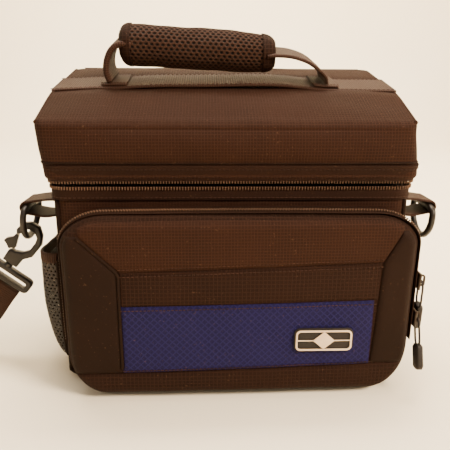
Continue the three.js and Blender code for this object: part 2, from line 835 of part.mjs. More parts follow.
function hookBody() {
  const outline = [
    [SWIVEL_X + GAP, -6],
    [20, -6.5],
    [26, -11],
    [38, -11.5],
    [45, -8],
    [HOOK_LENGTH, -2],
    [HOOK_LENGTH - 1, 5],
    [45, 9.5],
    [38, 10.5],
    [35, 8.5],
    [36.4, 6.2],
    [40, 5.8],
    [43.4, 3],
    [44, -1.5],
    [41, -5.6],
    [37, -6.6],
    [29, -6.4],
    [25, -3.4],
    [22.4, 2],
    [22.4, 4.4],
    [20, 6.5],
    [SWIVEL_X + GAP, 6],
  ];
  return plate(outline, 6, 1, onXY(-3));
}

function hookGate() {
  const outline = [
    [23.2, 4.4],
    [24.6, 3.2],
    [34.6, 6.6],
    [34.2, 9],
    [31, 9.4],
    [27, 13],
    [24.4, 13.4],
    [23.6, 11],
    [21.8, 8.4],
    [21, 7],
    [22.9, 5.4],
  ];
  return plate(outline, 4.4, 0.6, onXY(-2.2));
}

// The left hook hangs on the left ring's bow, in the XZ plane, and the strap follows its axis.
const leftAim = new THREE.Vector3(0.62, 0, 0.785).normalize();
const lean = THREE.MathUtils.degToRad(LEFT_LEAN);
const bowX = -ringX - RING_DROP * Math.sin(lean);
const bow = new THREE.Vector3(bowX, RING_Y, ringZ - RING_DROP * Math.cos(lean));
const eyeEnd = 44;
const leftBar = bow.clone().addScaledVector(leftAim, RING_BAR + 2 - eyeEnd);
const leftHookPlace = new THREE.Matrix4()
  .makeBasis(
    leftAim,
    new THREE.Vector3(-leftAim.z, 0, leftAim.x),
    new THREE.Vector3(0, -1, 0),
  )
  .setPosition(leftBar);

const outerTurn = ROLL_RADIUS - 6;
const tailX = ROLL_X - ROLL_RADIUS - 1.5;
const freeBar = new THREE.Vector3(tailX, ROLL_Y - 24, baseHalf + GAP);
const freeHookPlace = new THREE.Matrix4()
  .makeBasis(new THREE.Vector3(0, -1, 0), new THREE.Vector3(0, 0, 1), new THREE.Vector3(-1, 0, 0))
  .setPosition(freeBar);

for (const [side, place] of [["left", leftHookPlace], ["free", freeHookPlace]]) {
  add("hook_base_" + side, "plastic", hookBase().applyMatrix4(place));
  add("hook_body_" + side, "plastic", hookBody().applyMatrix4(place));
  add("hook_gate_" + side, "plastic", hookGate().applyMatrix4(place));
}

// ---- shoulder strap: a run, a roll that stands on edge on the floor, and a short tail ----

const strapZ = STRAP_WIDTH / 2 + GAP + 0.1;
const runStart = leftBar.clone().addScaledVector(leftAim, -5.6);
const runSecond = leftBar.clone().addScaledVector(leftAim, -16);
const rollClear = ROLL_X + Math.sqrt(ROLL_RADIUS ** 2 - outerTurn ** 2) + 3.4;
const runPoints = [
  runStart.toArray(),
  runSecond.toArray(),
  [-199, -19, 38],
  [-211, -17, 26.5],
  [-221, -14.5, strapZ + 1],
  [rollClear + 5, ROLL_Y - outerTurn - 0.4, strapZ],
  [rollClear, ROLL_Y - outerTurn, strapZ],
];
add("strap_run", "webbing", strap(runPoints, 24));

const rollProfile = [
  [0, 0.3],
  [ROLL_RADIUS - 1.5, 0.3],
  [ROLL_RADIUS, 1.8],
  [ROLL_RADIUS, STRAP_WIDTH - 1],
  [ROLL_RADIUS - 1.5, STRAP_WIDTH + 0.6],
  [0, STRAP_WIDTH + 0.6],
];
const roll = new THREE.LatheGeometry(rollProfile.map(([r, z]) => new THREE.Vector2(r, z)), 40);
add("strap_roll", "webbing", roll.rotateX(Math.PI / 2).translate(ROLL_X, ROLL_Y, 0));

const tailPoints = [
  [tailX, ROLL_Y + 12, strapZ],
  [tailX, ROLL_Y + 4, strapZ + 0.5],
  [tailX, ROLL_Y - 8, strapZ + 3.5],
  [tailX, freeBar.y + 10, freeBar.z],
  [tailX, freeBar.y + 4.4, freeBar.z],
];
add("strap_tail", "webbing", strap(tailPoints, 8));

// The adjuster lies flat on the tail: a frame with two slots and a middle bar.
const adjusterY = ROLL_Y - 4;
const adjusterZ = freeBar.z - 1;
const adjusterHalf = STRAP_WIDTH / 2 + 3;
const adjusterX = tailX - STRAP / 2 - GAP - 3.4;
const adjusterOutline = roundRect(
  adjusterY - 9,
  adjusterZ - adjusterHalf,
  adjusterY + 9,
  adjusterZ + adjusterHalf,
  3.5,
);
const slotHalf = adjusterHalf - 3.8;
const adjusterSlots = [adjusterY - 5.6, adjusterY + 1.4].map((y) => {
  const slot = roundRect(y, adjusterZ - slotHalf, y + 4.2, adjusterZ + slotHalf, 1);
  return plate(slot, 12, 0, onYZ(adjusterX - 4));
});
const adjusterPlate = plate(adjusterOutline, 3.4, 0.8, onYZ(adjusterX));
add("strap_adjuster", "plastic", cut(adjusterPlate, ...adjusterSlots));

export default group;
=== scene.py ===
# %% [markdown]
# # A padded shoulder bag for a camera
# The bag is a padded box with a zipped lid, a carry handle, a zipped front pocket, net side
# pockets and a strap that clips on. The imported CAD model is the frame: it says where every part is
# and how it moves. This lesson puts cloth, zips, webbing and light round that frame.
# Everything is in metres, with X to the right, the front facing -Y and Z up.

import math

import bmesh
import bpy
import numpy as np
from mathutils import Matrix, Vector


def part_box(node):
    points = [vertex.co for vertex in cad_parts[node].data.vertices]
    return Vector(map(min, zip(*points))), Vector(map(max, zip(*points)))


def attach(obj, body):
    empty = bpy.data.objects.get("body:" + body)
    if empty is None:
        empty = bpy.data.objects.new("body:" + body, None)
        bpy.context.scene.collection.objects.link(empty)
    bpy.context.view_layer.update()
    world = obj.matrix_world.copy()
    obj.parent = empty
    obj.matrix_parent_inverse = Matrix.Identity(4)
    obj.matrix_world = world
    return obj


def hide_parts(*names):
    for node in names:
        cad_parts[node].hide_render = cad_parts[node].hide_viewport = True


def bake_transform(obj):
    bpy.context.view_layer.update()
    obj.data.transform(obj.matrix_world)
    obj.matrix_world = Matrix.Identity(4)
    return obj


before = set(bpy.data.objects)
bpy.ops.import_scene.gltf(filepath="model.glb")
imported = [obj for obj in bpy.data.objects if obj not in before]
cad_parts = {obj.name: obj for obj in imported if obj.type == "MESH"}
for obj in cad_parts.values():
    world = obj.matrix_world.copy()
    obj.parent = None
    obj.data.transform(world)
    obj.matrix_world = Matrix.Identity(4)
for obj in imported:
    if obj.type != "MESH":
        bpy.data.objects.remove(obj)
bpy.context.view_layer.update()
MM = 0.001

# %% [markdown]
# ## Sizes
# Sizes are read from the frame, so that cloth fits the part it covers. What the frame's boxes
# can't say, such as where the lid's roof bends, is named here once.

# %% Read the sizes


def corners(*nodes):
    """Lowest and highest corner of several CAD nodes together, as two arrays."""
    found = np.array([[tuple(c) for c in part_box(n)] for n in nodes])
    return found[:, 0].min(0), found[:, 1].max(0)


body_x, _, body_top = corners("base_panel", "wall_front", "wall_left")[1]
body_y = corners("base_panel")[1][1]
WALL = 9 * MM
BODY_CORNER = 13 * MM

lid_low, lid_high = corners("lid_top", "lid_front", "lid_left", "lid_back", "lid_right")
lid_x, lid_y = lid_high[0], lid_high[1]
lid_bottom = lid_low[2]
lid_seam = corners("lid_zip")[1][2] + 0.3 * MM
LID_WALL = 8 * MM
LID_CORNER = 9 * MM
FOLD_RISE = 25.5 * MM
BREAK_DEPTH = 47 * MM
BREAK_RISE = 18 * MM
BACK_RISE = 17 * MM
WEBBING_Y = 4 * MM
LEAN_LEFT = -3.5 * MM
lid_fold = lid_seam + FOLD_RISE
break_y = BREAK_DEPTH - lid_y
break_z = lid_fold + BREAK_RISE
roof_back = break_z + BACK_RISE
roof_slope = math.atan2(BACK_RISE, lid_y - break_y)

pocket_low, pocket_high = corners("pocket_panel")
pocket_bottom, pocket_top = pocket_low[2], pocket_high[2]
pocket_back = -body_y
pocket_split = pocket_high[1]
pocket_face = pocket_low[1]
SIDES = (("left", -1), ("right", 1))
print("body and lid half widths in mm:", body_x / MM, lid_x / MM)

# %% [markdown]
# ## Camera
# The camera stands as high as the lid, in front and slightly to the left, and looks down at the
# pocket. Its axes are built from the direction of view, so that the small roll is plain to see.

# %% Set the camera
PITCH = math.radians(16.7)
YAW = math.radians(2.0)
ROLL = math.radians(0.34)
EYE = (-0.017, -0.403, 0.221)

ahead = np.array(
    [math.sin(YAW) * math.cos(PITCH), math.cos(YAW) * math.cos(PITCH), -math.sin(PITCH)]
)
level = np.cross(ahead, (0, 0, 1))
level /= np.linalg.norm(level)
upright = np.cross(level, ahead)
right = math.cos(ROLL) * level + math.sin(ROLL) * upright
above = math.cos(ROLL) * upright - math.sin(ROLL) * level

camera_data = bpy.data.cameras.new("camera")
camera_data.lens = 41.6
camera_data.sensor_width = 36
camera = bpy.data.objects.new("camera", camera_data)
bpy.context.scene.collection.objects.link(camera)
turn = np.eye(4)
turn[:3, 0], turn[:3, 1], turn[:3, 2], turn[:3, 3] = right, above, -ahead, EYE
camera.matrix_world = Matrix(turn.tolist())
bpy.context.scene.camera = camera
print("camera at", EYE, "lens", camera_data.lens, "mm")

# %% [markdown]
# ## Meshes from arrays
# Cloth is made as grids of points. A grid is an array of rows by columns, and it may close round
# its columns, like a sleeve. Each face gets its place on the cloth, in metres, as a UV map named
# cloth: either the lengths given, or a projection along the axis that the face looks down most.

# %% Grid helpers


def box_projection(points, faces):
    """UV for each face corner: drop the coordinate along which the face's normal is longest."""
    a, b, c, d = (points[faces[:, k]] for k in range(4))
    normal = np.abs(np.cross(c - a, d - b))
    axis = normal.argmax(1)
    kept = np.array([[1, 2], [0, 2], [0, 1]])[axis]
    return np.take_along_axis(points[faces], kept[:, None, :], 2)


def new_mesh(name, points, faces, uv=None):
    """A smooth mesh object from points and quads. Doubled points are merged, and a closed mesh is
    turned so that its faces point outwards."""
    mesh = bpy.data.meshes.new(name)
    mesh.from_pydata(points.tolist(), [], faces.tolist())
    layer = mesh.uv_layers.new(name="cloth")
    if uv is None:
        uv = box_projection(points, faces)
    layer.data.foreach_set("uv", np.asarray(uv, np.float32).ravel())
    made = bmesh.new()
    made.from_mesh(mesh)
    bmesh.ops.remove_doubles(made, verts=made.verts, dist=1e-6)
    closed = all(edge.is_manifold for edge in made.edges)
    if closed and made.calc_volume(signed=True) < 0:
        bmesh.ops.reverse_faces(made, faces=made.faces)
    made.to_mesh(mesh)
    made.free()
    mesh.shade_smooth()
    piece = bpy.data.objects.new(name, mesh)
    bpy.context.scene.collection.objects.link(piece)
    return piece


def cells(rows, columns, around):
    """Row and column of each quad's first corner, over rows by columns of points."""
    r, c = np.meshgrid(np.arange(rows - 1), np.arange(columns - (not around)), indexing="ij")
    return r.ravel(), c.ravel()


def grid_faces(rows, columns, around=False):
    """Quads over rows by columns of points; the last column joins the first if around."""
    r, c = cells(rows, columns, around)
    here, beside = r * columns + c, r * columns + (c + 1) % columns
    return np.stack([here, beside, beside + columns, here + columns], 1)


def grid_uv(along, across, around=False):
    """UV for each quad of grid_faces, from the length along the rows and across the columns."""
    r, c = cells(len(along), len(across) - around, around)
    corner_rows = np.stack([r, r, r + 1, r + 1], 1)
    corner_columns = np.stack([c, c + 1, c + 1, c], 1)
    return np.stack([across[corner_columns], along[corner_rows]], 2)


def closed_grid(name, grid, flip=False):
    """A shell that is closed round its columns, and at both ends, where its rows meet on a line."""
    rows, columns, _ = grid.shape
    faces = grid_faces(rows, columns, True)
    return new_mesh(name, grid.reshape(-1, 3), faces[:, ::-1] if flip else faces)


def slab(name, front, back):
    """A closed panel between two grids of the same size: front, back, and a rim between them."""
    rows, columns, _ = front.shape
    count = rows * columns
    faces = grid_faces(rows, columns)
    index = np.arange(count).reshape(rows, columns)
    loop = np.concatenate([index[0, :-1], index[:-1, -1], index[-1, :0:-1], index[:0:-1, 0]])
    after = np.roll(loop, -1)
    rim = np.stack([loop, loop + count, after + count, after], 1)
    points = np.concatenate([front.reshape(-1, 3), back.reshape(-1, 3)])
    return new_mesh(name, points, np.concatenate([faces, faces[:, ::-1] + count, rim]))


def unit(v):
    """Vectors of length one along the last axis."""
    return v / np.maximum(np.linalg.norm(v, axis=-1, keepdims=True), 1e-12)


def lengths(path):
    """Length from the start to each point of a path."""
    steps = np.linalg.norm(np.diff(path, axis=0), axis=1)
    return np.concatenate([[0], np.cumsum(steps)])


def even(path, step):
    """The same path with points about step apart, joined by straight lines."""
    path = np.asarray(path, float)
    run = lengths(path)
    at = np.linspace(0, run[-1], max(2, int(round(run[-1] / step)) + 1))
    return np.stack([np.interp(at, run, path[:, k]) for k in range(path.shape[1])], 1)


def smooth(path, step):
    """A smooth path through given points: a Catmull-Rom curve, then evenly spaced points."""
    p = np.asarray(path, float)
    p = np.concatenate([2 * p[:1] - p[1:2], p, 2 * p[-1:] - p[-2:-1]])
    t = np.linspace(0, 1, 24)[:, None]
    a, b, c, d = (p[k : len(p) - 3 + k, None, :] for k in range(4))
    curve = 2 * b + (c - a) * t
    curve = curve + (2 * a - 5 * b + 4 * c - d) * t**2 + (3 * b - a - 3 * c + d) * t**3
    flat = (0.5 * curve).reshape(-1, p.shape[1])
    keep = np.concatenate([[True], np.linalg.norm(np.diff(flat, axis=0), axis=1) > 1e-9])
    return even(flat[keep], step)


def close_ends(grid, line):
    """The grid with one more row at each end, gathered on the line's first and last point."""
    return np.concatenate([0 * grid[:1] + line[0], grid, 0 * grid[:1] + line[-1]])


def sweep(name, path, across, section, closed=False):
    """Carries a closed section along a path. across is the direction of the section's first axis at
    each point, and its second axis is across turned about the path."""
    path = np.asarray(path, float)
    if closed:
        tangent = unit(np.roll(path, -1, 0) - np.roll(path, 1, 0))
    else:
        tangent = unit(np.gradient(path, axis=0))
    across = np.broadcast_to(np.asarray(across, float), path.shape)
    across = unit(across - tangent * (across * tangent).sum(1, keepdims=True))
    second = np.cross(tangent, across)
    section = np.asarray(section, float)
    u, v = section[:, 0, None], section[:, 1, None]
    grid = path[:, None] + u * across[:, None] + v * second[:, None]
    round_length = lengths(np.concatenate([section, section[:1]]))
    along = lengths(path)
    if closed:
        grid = np.concatenate([grid, grid[:1]])
        along = lengths(np.concatenate([path, path[:1]]))
    else:
        grid = close_ends(grid, path)
        along = np.concatenate([[along[0]], along, [along[-1]]])
    rows, columns, _ = grid.shape
    faces = grid_faces(rows, columns, True)
    return new_mesh(name, grid.reshape(-1, 3), faces, grid_uv(along, round_length, True))


def disc(radius, sides=10):
    """A round section, counter-clockwise."""
    a = np.linspace(0, 2 * math.pi, sides, endpoint=False)
    return np.stack([radius * np.cos(a), radius * np.sin(a)], 1)


def ribbon(width, thickness, across=9):
    """A flat section with rounded edges: width on the first axis, thickness on the second."""
    half, t = width / 2, thickness / 2
    x = np.linspace(half - t, t - half, across)
    cap = np.linspace(math.pi / 2, -math.pi / 2, 5)[1:-1]
    top = np.stack([x, np.full(across, t)], 1)
    left = np.stack([t - half - t * np.cos(cap), t * np.sin(cap)], 1)
    right_end = np.stack([half - t + t * np.cos(cap), -t * np.sin(cap)], 1)
    return np.concatenate([top, left, top[::-1] * (1, -1), right_end])


# %% [markdown]
# ## Finishes
# Cloth is drawn by its weave. One group turns the cloth's own lengths into a plain weave, with a
# heavier yarn every few millimetres, as ripstop has; another gives the ribs of webbing, and a third
# gives the lint and fading that every used fabric carries. The groups give only heights and masks,
# and each material mixes them into its own colour, roughness and bump. In the colour the heights
# are painted light: painted shade in the hollows of weave and ribs, a painted highlight on the
# raised yarns and ribs.

# %% Node helpers


class Graph:
    """Adds nodes to one tree. Each method returns the socket that it makes."""

    def __init__(self, tree):
        self.tree = tree

    def add(self, kind, **settings):
        node = self.tree.nodes.new(kind)
        for key, value in settings.items():
            setattr(node, key, value)
        return node

    def feed(self, socket, value):
        if isinstance(value, bpy.types.NodeSocket):
            self.tree.links.new(value, socket)
        else:
            socket.default_value = value

    def math(self, operation, *values):
        node = self.add("ShaderNodeMath", operation=operation)
        for socket, value in zip(node.inputs, values):
            self.feed(socket, value)
        return node.outputs[0]

    def noise(self, vector, scale, detail=2.0):
        node = self.add("ShaderNodeTexNoise")
        self.feed(node.inputs["Vector"], vector)
        self.feed(node.inputs["Scale"], scale)
        self.feed(node.inputs["Detail"], detail)
        return node.outputs["Fac"]

    def remap(self, value, low, high, to_low=0.0, to_high=1.0):
        node = self.add("ShaderNodeMapRange")
        for socket, given in zip(node.inputs, (value, low, high, to_low, to_high)):
            self.feed(socket, given)
        return node.outputs[0]

    def mix(self, factor, a, b):
        node = self.add("ShaderNodeMix", data_type="RGBA")
        self.feed(node.inputs["Factor"], factor)
        self.feed(node.inputs[6], a)
        self.feed(node.inputs[7], b)
        return node.outputs[2]

    def wave(self, value):
        """|sin(pi * value)|: one yarn or rib for each whole number."""
        return self.math("ABSOLUTE", self.math("SINE", self.math("MULTIPLY", value, math.pi)))

    def bump(self, height, distance):
        node = self.add("ShaderNodeBump")
        node.inputs["Distance"].default_value = distance
        self.feed(node.inputs["Height"], height)
        return node.outputs[0]


def new_group(name, inputs, outputs):
    """An empty shader group: inputs are name, socket kind and default, outputs name and kind."""
    tree = bpy.data.node_groups.new(name, "ShaderNodeTree")
    for title, kind, value in inputs:
        socket = tree.interface.new_socket(title, in_out="INPUT", socket_type="NodeSocket" + kind)
        if value is not None:
            socket.default_value = value
    for title, kind in outputs:
        tree.interface.new_socket(title, in_out="OUTPUT", socket_type="NodeSocket" + kind)
    g = Graph(tree)
    return g, g.add("NodeGroupInput").outputs, g.add("NodeGroupOutput").inputs


# %% Weave, rib and lint groups


def weave_group():
    """A ripstop yarn stands up where u or v is near a whole number of squares."""
    g, given, out = new_group(
        "weave",
        [
            ("Vector", "Vector", None),
            ("Yarn", "Float", 0.6 * MM),
            ("Square", "Float", 3.0 * MM),
            ("Turn", "Float", 0.0),
        ],
        [("Height", "Float"), ("Ripstop", "Float")],
    )
    rotate = g.add("ShaderNodeVectorRotate", rotation_type="Z_AXIS")
    g.feed(rotate.inputs["Vector"], given["Vector"])
    g.feed(rotate.inputs["Angle"], given["Turn"])
    split = g.add("ShaderNodeSeparateXYZ")
    g.feed(split.inputs[0], rotate.outputs[0])
    u = g.math("DIVIDE", split.outputs[0], given["Yarn"])
    v = g.math("DIVIDE", split.outputs[1], given["Yarn"])
    cell = g.math("ADD", g.math("FLOOR", u), g.math("FLOOR", v))
    checker = g.math("MODULO", g.math("ABSOLUTE", cell), 2.0)
    warp = g.wave(u)
    weft = g.wave(v)
    over = g.math("MULTIPLY", warp, checker)
    under = g.math("MULTIPLY", weft, g.math("SUBTRACT", 1.0, checker))
    g.feed(out["Height"], g.math("ADD", over, under))
    lines = []
    for axis in (0, 1):
        at = g.math("PINGPONG", g.math("DIVIDE", split.outputs[axis], given["Square"]), 0.5)
        lines.append(g.remap(at, 0.17, 0.06))
    g.feed(out["Ripstop"], g.math("MAXIMUM", *lines))
    return g.tree


def rib_group():
    """Webbing ribs: |sin| along the length, broken by fine yarns across the width."""
    wanted = [("Vector", "Vector", None), ("Rib", "Float", 1.7 * MM)]
    g, given, out = new_group("ribs", wanted, [("Height", "Float")])
    split = g.add("ShaderNodeSeparateXYZ")
    g.feed(split.inputs[0], given["Vector"])
    along = g.math("DIVIDE", split.outputs[1], given["Rib"])
    across = g.math("DIVIDE", split.outputs[0], 1.1 * MM)
    shifted = g.math("ADD", along, g.math("MULTIPLY", g.math("PINGPONG", across, 1.0), 0.35))
    rib = g.wave(shifted)
    yarn = g.wave(across)
    g.feed(out["Height"], g.math("ADD", rib, g.math("MULTIPLY", yarn, 0.5)))
    return g.tree


def lint_group():
    """Fading and lint: slow noise for the fading, and small sharp flecks for the lint."""
    made = [("Fade", "Float"), ("Flecks", "Float")]
    g, given, out = new_group("lint", [("Vector", "Vector", None)], made)
    g.feed(out["Fade"], g.remap(g.noise(given["Vector"], 28.0, 3.0), 0.35, 0.7))
    flecks = g.noise(given["Vector"], 620.0, 1.0)
    g.feed(out["Flecks"], g.remap(flecks, 0.7, 0.78))
    return g.tree


WEAVE, RIBS, LINT = weave_group(), rib_group(), lint_group()
print("node groups:", [tree.name for tree in (WEAVE, RIBS, LINT)])

# %% Material functions


def shade(red, green, blue):
    """A screen colour from 0 to 255 as the linear colour that a shader takes."""
    value = np.array([red, green, blue]) / 255
    linear = np.where(value <= 0.04045, value / 12.92, ((value + 0.055) / 1.055) ** 2.4)
    return (*linear.tolist(), 1.0)


def start(name, roughness):
    """A new material's graph, its Principled shader's inputs and its Object coordinates."""
    material = bpy.data.materials.new(name)
    material.use_nodes = True
    g = Graph(material.node_tree)
    shader = material.node_tree.nodes["Principled BSDF"]
    shader.inputs["Roughness"].default_value = roughness
    place = g.add("ShaderNodeTexCoord").outputs["Object"]
    return material, g, shader.inputs, place


def use(g, tree, **values):
    """Places a group in a material and returns its outputs."""
    node = g.add("ShaderNodeGroup", node_tree=tree)
    for key, value in values.items():
        g.feed(node.inputs[key], value)
    return node.outputs


def on_cloth(g):
    """The piece's own lengths along and across its cloth."""
    return g.add("ShaderNodeUVMap", uv_map="cloth").outputs[0]


def cloth(name, colour, light, yarn, square, turned, rip, depth, roughness=0.9, sheen=0.0):
    """Woven cloth: painted shade in the valleys of the weave and a painted highlight on its raised
    yarns and ripstop lines, with lint and fading over both.
    """
    material, g, shader, place = start(name, roughness)
    sizes = {"Yarn": yarn * MM, "Square": square * MM, "Turn": math.radians(turned)}
    weave = use(g, WEAVE, Vector=on_cloth(g), **sizes)
    lint = use(g, LINT, Vector=place)
    height = g.math("ADD", weave["Height"], g.math("MULTIPLY", weave["Ripstop"], rip * 2))
    # Painted light: the weave's height mixes colour towards light, so the valleys are painted shade and
    # the raised yarns a painted highlight.
    base = g.mix(g.math("MULTIPLY", height, 0.6), colour, light)
    faded = g.mix(g.math("MULTIPLY", lint["Fade"], 0.3), base, light)
    flecks = g.math("MULTIPLY", lint["Flecks"], 0.3)
    g.feed(shader["Base Color"], g.mix(flecks, faded, shade(104, 76, 56)))
    g.feed(shader["Roughness"], g.remap(height, 0.0, 1.4, roughness, roughness - 0.16))
    g.feed(shader["Normal"], g.bump(height, depth * MM))
    shader["Specular IOR Level"].default_value = 0.1
    shader["Sheen Weight"].default_value = sheen
    shader["Sheen Roughness"].default_value = 0.5
    return material


def webbing_cloth(name, colour, light):
    """Ribbed webbing, a little glossy on top of each rib, with a painted highlight on each rib's top
    and painted shade in the grooves between them.
    """
    material, g, shader, place = start(name, 0.72)
    height = use(g, RIBS, Vector=on_cloth(g))["Height"]
    lint = use(g, LINT, Vector=place)
    # Painted light: the rib height lightens each rib's top as a painted highlight and darkens the grooves
    # as painted shade.
    base = g.mix(g.remap(height, 0.2, 1.4), colour, light)
    flecks = g.math("MULTIPLY", lint["Flecks"], 0.35)
    g.feed(shader["Base Color"], g.mix(flecks, base, shade(110, 80, 60)))
    g.feed(shader["Roughness"], g.remap(height, 0.0, 1.5, 0.85, 0.6))
    g.feed(shader["Normal"], g.bump(height, 0.35 * MM))
    shader["Specular IOR Level"].default_value = 0.2
    return material


def spacer_mesh(name, colour, light):
    """Knitted spacer mesh: fine knit with a painted highlight on its raised yarns, between the oval
    dimples that the surface itself carries, which are painted dark inside as painted shade.
    """
    material, g, shader, place = start(name, 0.8)
    weave = use(g, WEAVE, Vector=on_cloth(g), Yarn=0.7 * MM, Square=90 * MM, Turn=math.radians(45))
    # Painted shade: the dimple depth kept on the mesh paints each dimple near black inside; below, the
    # knit's height lightens its raised yarns as a painted highlight.
    dimple_depth_and_shade = g.add("ShaderNodeAttribute", attribute_name="dimple_depth_and_shade").outputs["Fac"]
    base = g.mix(weave["Height"], colour, light)
    g.feed(shader["Base Color"], g.mix(dimple_depth_and_shade, base, shade(8, 5, 3)))
    g.feed(shader["Normal"], g.bump(weave["Height"], 0.25 * MM))
    lint = use(g, LINT, Vector=place)
    g.feed(shader["Roughness"], g.remap(lint["Fade"], 0, 1, 0.85, 0.7))
    shader["Specular IOR Level"].default_value = 0.18
    return material


def net(name, colour, pitch, bar):
    """Open net: the cloth is there only near the lines of a six-sided lattice."""
    material, g, shader, place = start(name, 0.7)
    split = g.add("ShaderNodeSeparateXYZ")
    g.feed(split.inputs[0], on_cloth(g))
    u = g.math("DIVIDE", split.outputs[0], pitch * MM)
    v = g.math("DIVIDE", split.outputs[1], pitch * MM * 0.866)
    shift = g.math("MULTIPLY", g.math("MODULO", g.math("ABSOLUTE", g.math("FLOOR", v)), 2.0), 0.5)
    across = g.math("ABSOLUTE", g.math("SUBTRACT", g.math("FRACT", g.math("ADD", u, shift)), 0.5))
    along = g.math("ABSOLUTE", g.math("SUBTRACT", g.math("FRACT", v), 0.5))
    squares = g.math("MULTIPLY", across, across), g.math("MULTIPLY", along, along)
    radius = g.math("SQRT", g.math("ADD", *squares))
    thread = g.remap(radius, bar, bar + 0.05)
    g.feed(shader["Alpha"], thread)
    lint = use(g, LINT, Vector=place)
    g.feed(shader["Base Color"], g.mix(lint["Fade"], colour, shade(44, 27, 19)))
    g.feed(shader["Normal"], g.bump(radius, 0.3 * MM))
    return material


def moulded(name, colour, light, roughness, metallic=0.0, grain=900.0, depth=0.05):
    """Moulded plastic, rubber or coated metal: fine grain, with convex edges painted a little lighter,
    partly as rubbed wear and partly as a painted glint.
    """
    material, g, shader, place = start(name, roughness)
    fine = g.noise(place, grain, 3.0)
    lint = use(g, LINT, Vector=place)
    # Painted glint mixed with wear: convex edges, found from pointiness, are mixed towards the light
    # colour.
    edge_wear_and_glint = g.remap(g.add("ShaderNodeNewGeometry").outputs["Pointiness"], 0.53, 0.62)
    base = g.mix(g.math("MULTIPLY", lint["Fade"], 0.5), colour, light)
    g.feed(shader["Base Color"], g.mix(g.math("MULTIPLY", edge_wear_and_glint, 0.5), base, light))
    g.feed(shader["Roughness"], g.remap(fine, 0.3, 0.7, roughness - 0.08, roughness + 0.12))
    g.feed(shader["Normal"], g.bump(fine, depth * MM))
    shader["Specular IOR Level"].default_value = 0.35
    shader["Metallic"].default_value = metallic
    return material


# %% Materials
GRID = cloth("grid_cloth", shade(17, 8, 4), shade(52, 29, 18), 0.55, 2.1, 0, 0.45, 0.14)
PLAIN = cloth("plain_cloth", shade(14, 7, 3), shade(36, 19, 11), 0.45, 60, 0, 0.0, 0.07, 0.85)
RIPSTOP = cloth("ripstop_cloth", shade(13, 6, 3), shade(42, 23, 14), 0.5, 2.7, 0, 0.5, 0.14)
BLUE = cloth("blue_ripstop", shade(12, 9, 34), shade(30, 25, 72), 0.5, 3.4, 45, 0.55, 0.16, 0.7)
LINING = cloth("brushed_lining", shade(20, 15, 12), shade(46, 36, 30), 0.9, 80, 30, 0.0, 0.12, 0.95, 0.2)
TAPE = cloth("zip_tape", shade(18, 9, 5), shade(48, 27, 17), 0.5, 60, 45, 0.0, 0.12, 0.85)
WEBBING = webbing_cloth("webbing", shade(22, 11, 6), shade(60, 34, 21))
SPACER = spacer_mesh("spacer_mesh", shade(26, 14, 8), shade(62, 37, 24))
NET = net("pocket_net", shade(16, 8, 5), 3.1, 0.24)
PLASTIC = moulded("moulded_plastic", shade(10, 6, 4), shade(30, 19, 13), 0.42)
METAL = moulded("coated_metal", shade(18, 11, 7), shade(74, 54, 40), 0.42, 0.4, 1400, 0.03)
RUBBER = moulded("moulded_rubber", shade(16, 9, 6), shade(36, 23, 16), 0.6, 0.0, 700, 0.08)
# On the zip's teeth the light colour, laid on their edges, is a painted glint.
COIL = moulded("zip_coil", shade(40, 26, 18), shade(116, 86, 66), 0.34, 0.0, 1500, 0.02)
EMBLEM = moulded("badge_ink", shade(214, 186, 154), shade(240, 220, 192), 0.45, 0.0, 900, 0.02)
print(len(bpy.data.materials), "materials")


def dress(piece, body, material, slot, *replaced, fill=None):
    """Gives a piece its material, the body it rides on and the CAD nodes it stands for; slot is not used.
    """
    piece.data.materials.clear()
    piece.data.materials.append(material)
    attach(piece, body)
    if replaced:
        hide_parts(*replaced)
    return piece


# %% [markdown]
# ## The shoulder strap
# The strap is 38 mm webbing from the left hook down to the table, then wound up on edge beside
# the bag; it is one fixed piece, carried by the bag's main body. It is wound from its middle, so that
# both ends come off the outside: two spirals run side by side and meet in an S at the centre. The
# run and the tail repeat the points that the frame's own strap follows.

# %% Strap
STRAP_WIDTH = 38 * MM
STRAP_THICKNESS = 2 * MM
ROLL_CENTRE = np.array([-284, 54, 19.4]) * MM
OUTER_TURN = 66 * MM
STRAND_GAP = 14 * MM

RUN = np.array(
    [
        (-180.43, -20, 63.27),
        (-186.87, -20, 55.11),
        (-199, -19, 38),
        (-211, -17, 26.5),
        (-221, -14.5, 20.4),
        (-246.8, -12.4, 19.4),
        (-251.8, -12, 19.4),
    ]
)
TAIL = np.array(
    [
        (-357.5, 66, 19.4),
        (-357.5, 58, 19.9),
        (-357.5, 46, 22.9),
        (-357.5, 40, 24.3),
        (-357.5, 34.4, 24.3),
    ]
)


def strand(start_angle, turns):
    """Half of the double spiral: the radius grows from the S at the centre to the outer turn by two
    strand gaps each turn, so the other half fits between its turns."""
    grow = 2 * STRAND_GAP / (2 * math.pi)
    angle = np.linspace(0, turns * 2 * math.pi, int(turns * 64))
    radius = OUTER_TURN - grow * (turns * 2 * math.pi - angle)
    swing = start_angle + angle - turns * 2 * math.pi
    return ROLL_CENTRE + np.stack([radius * np.cos(swing), radius * np.sin(swing), 0 * swing], 1)


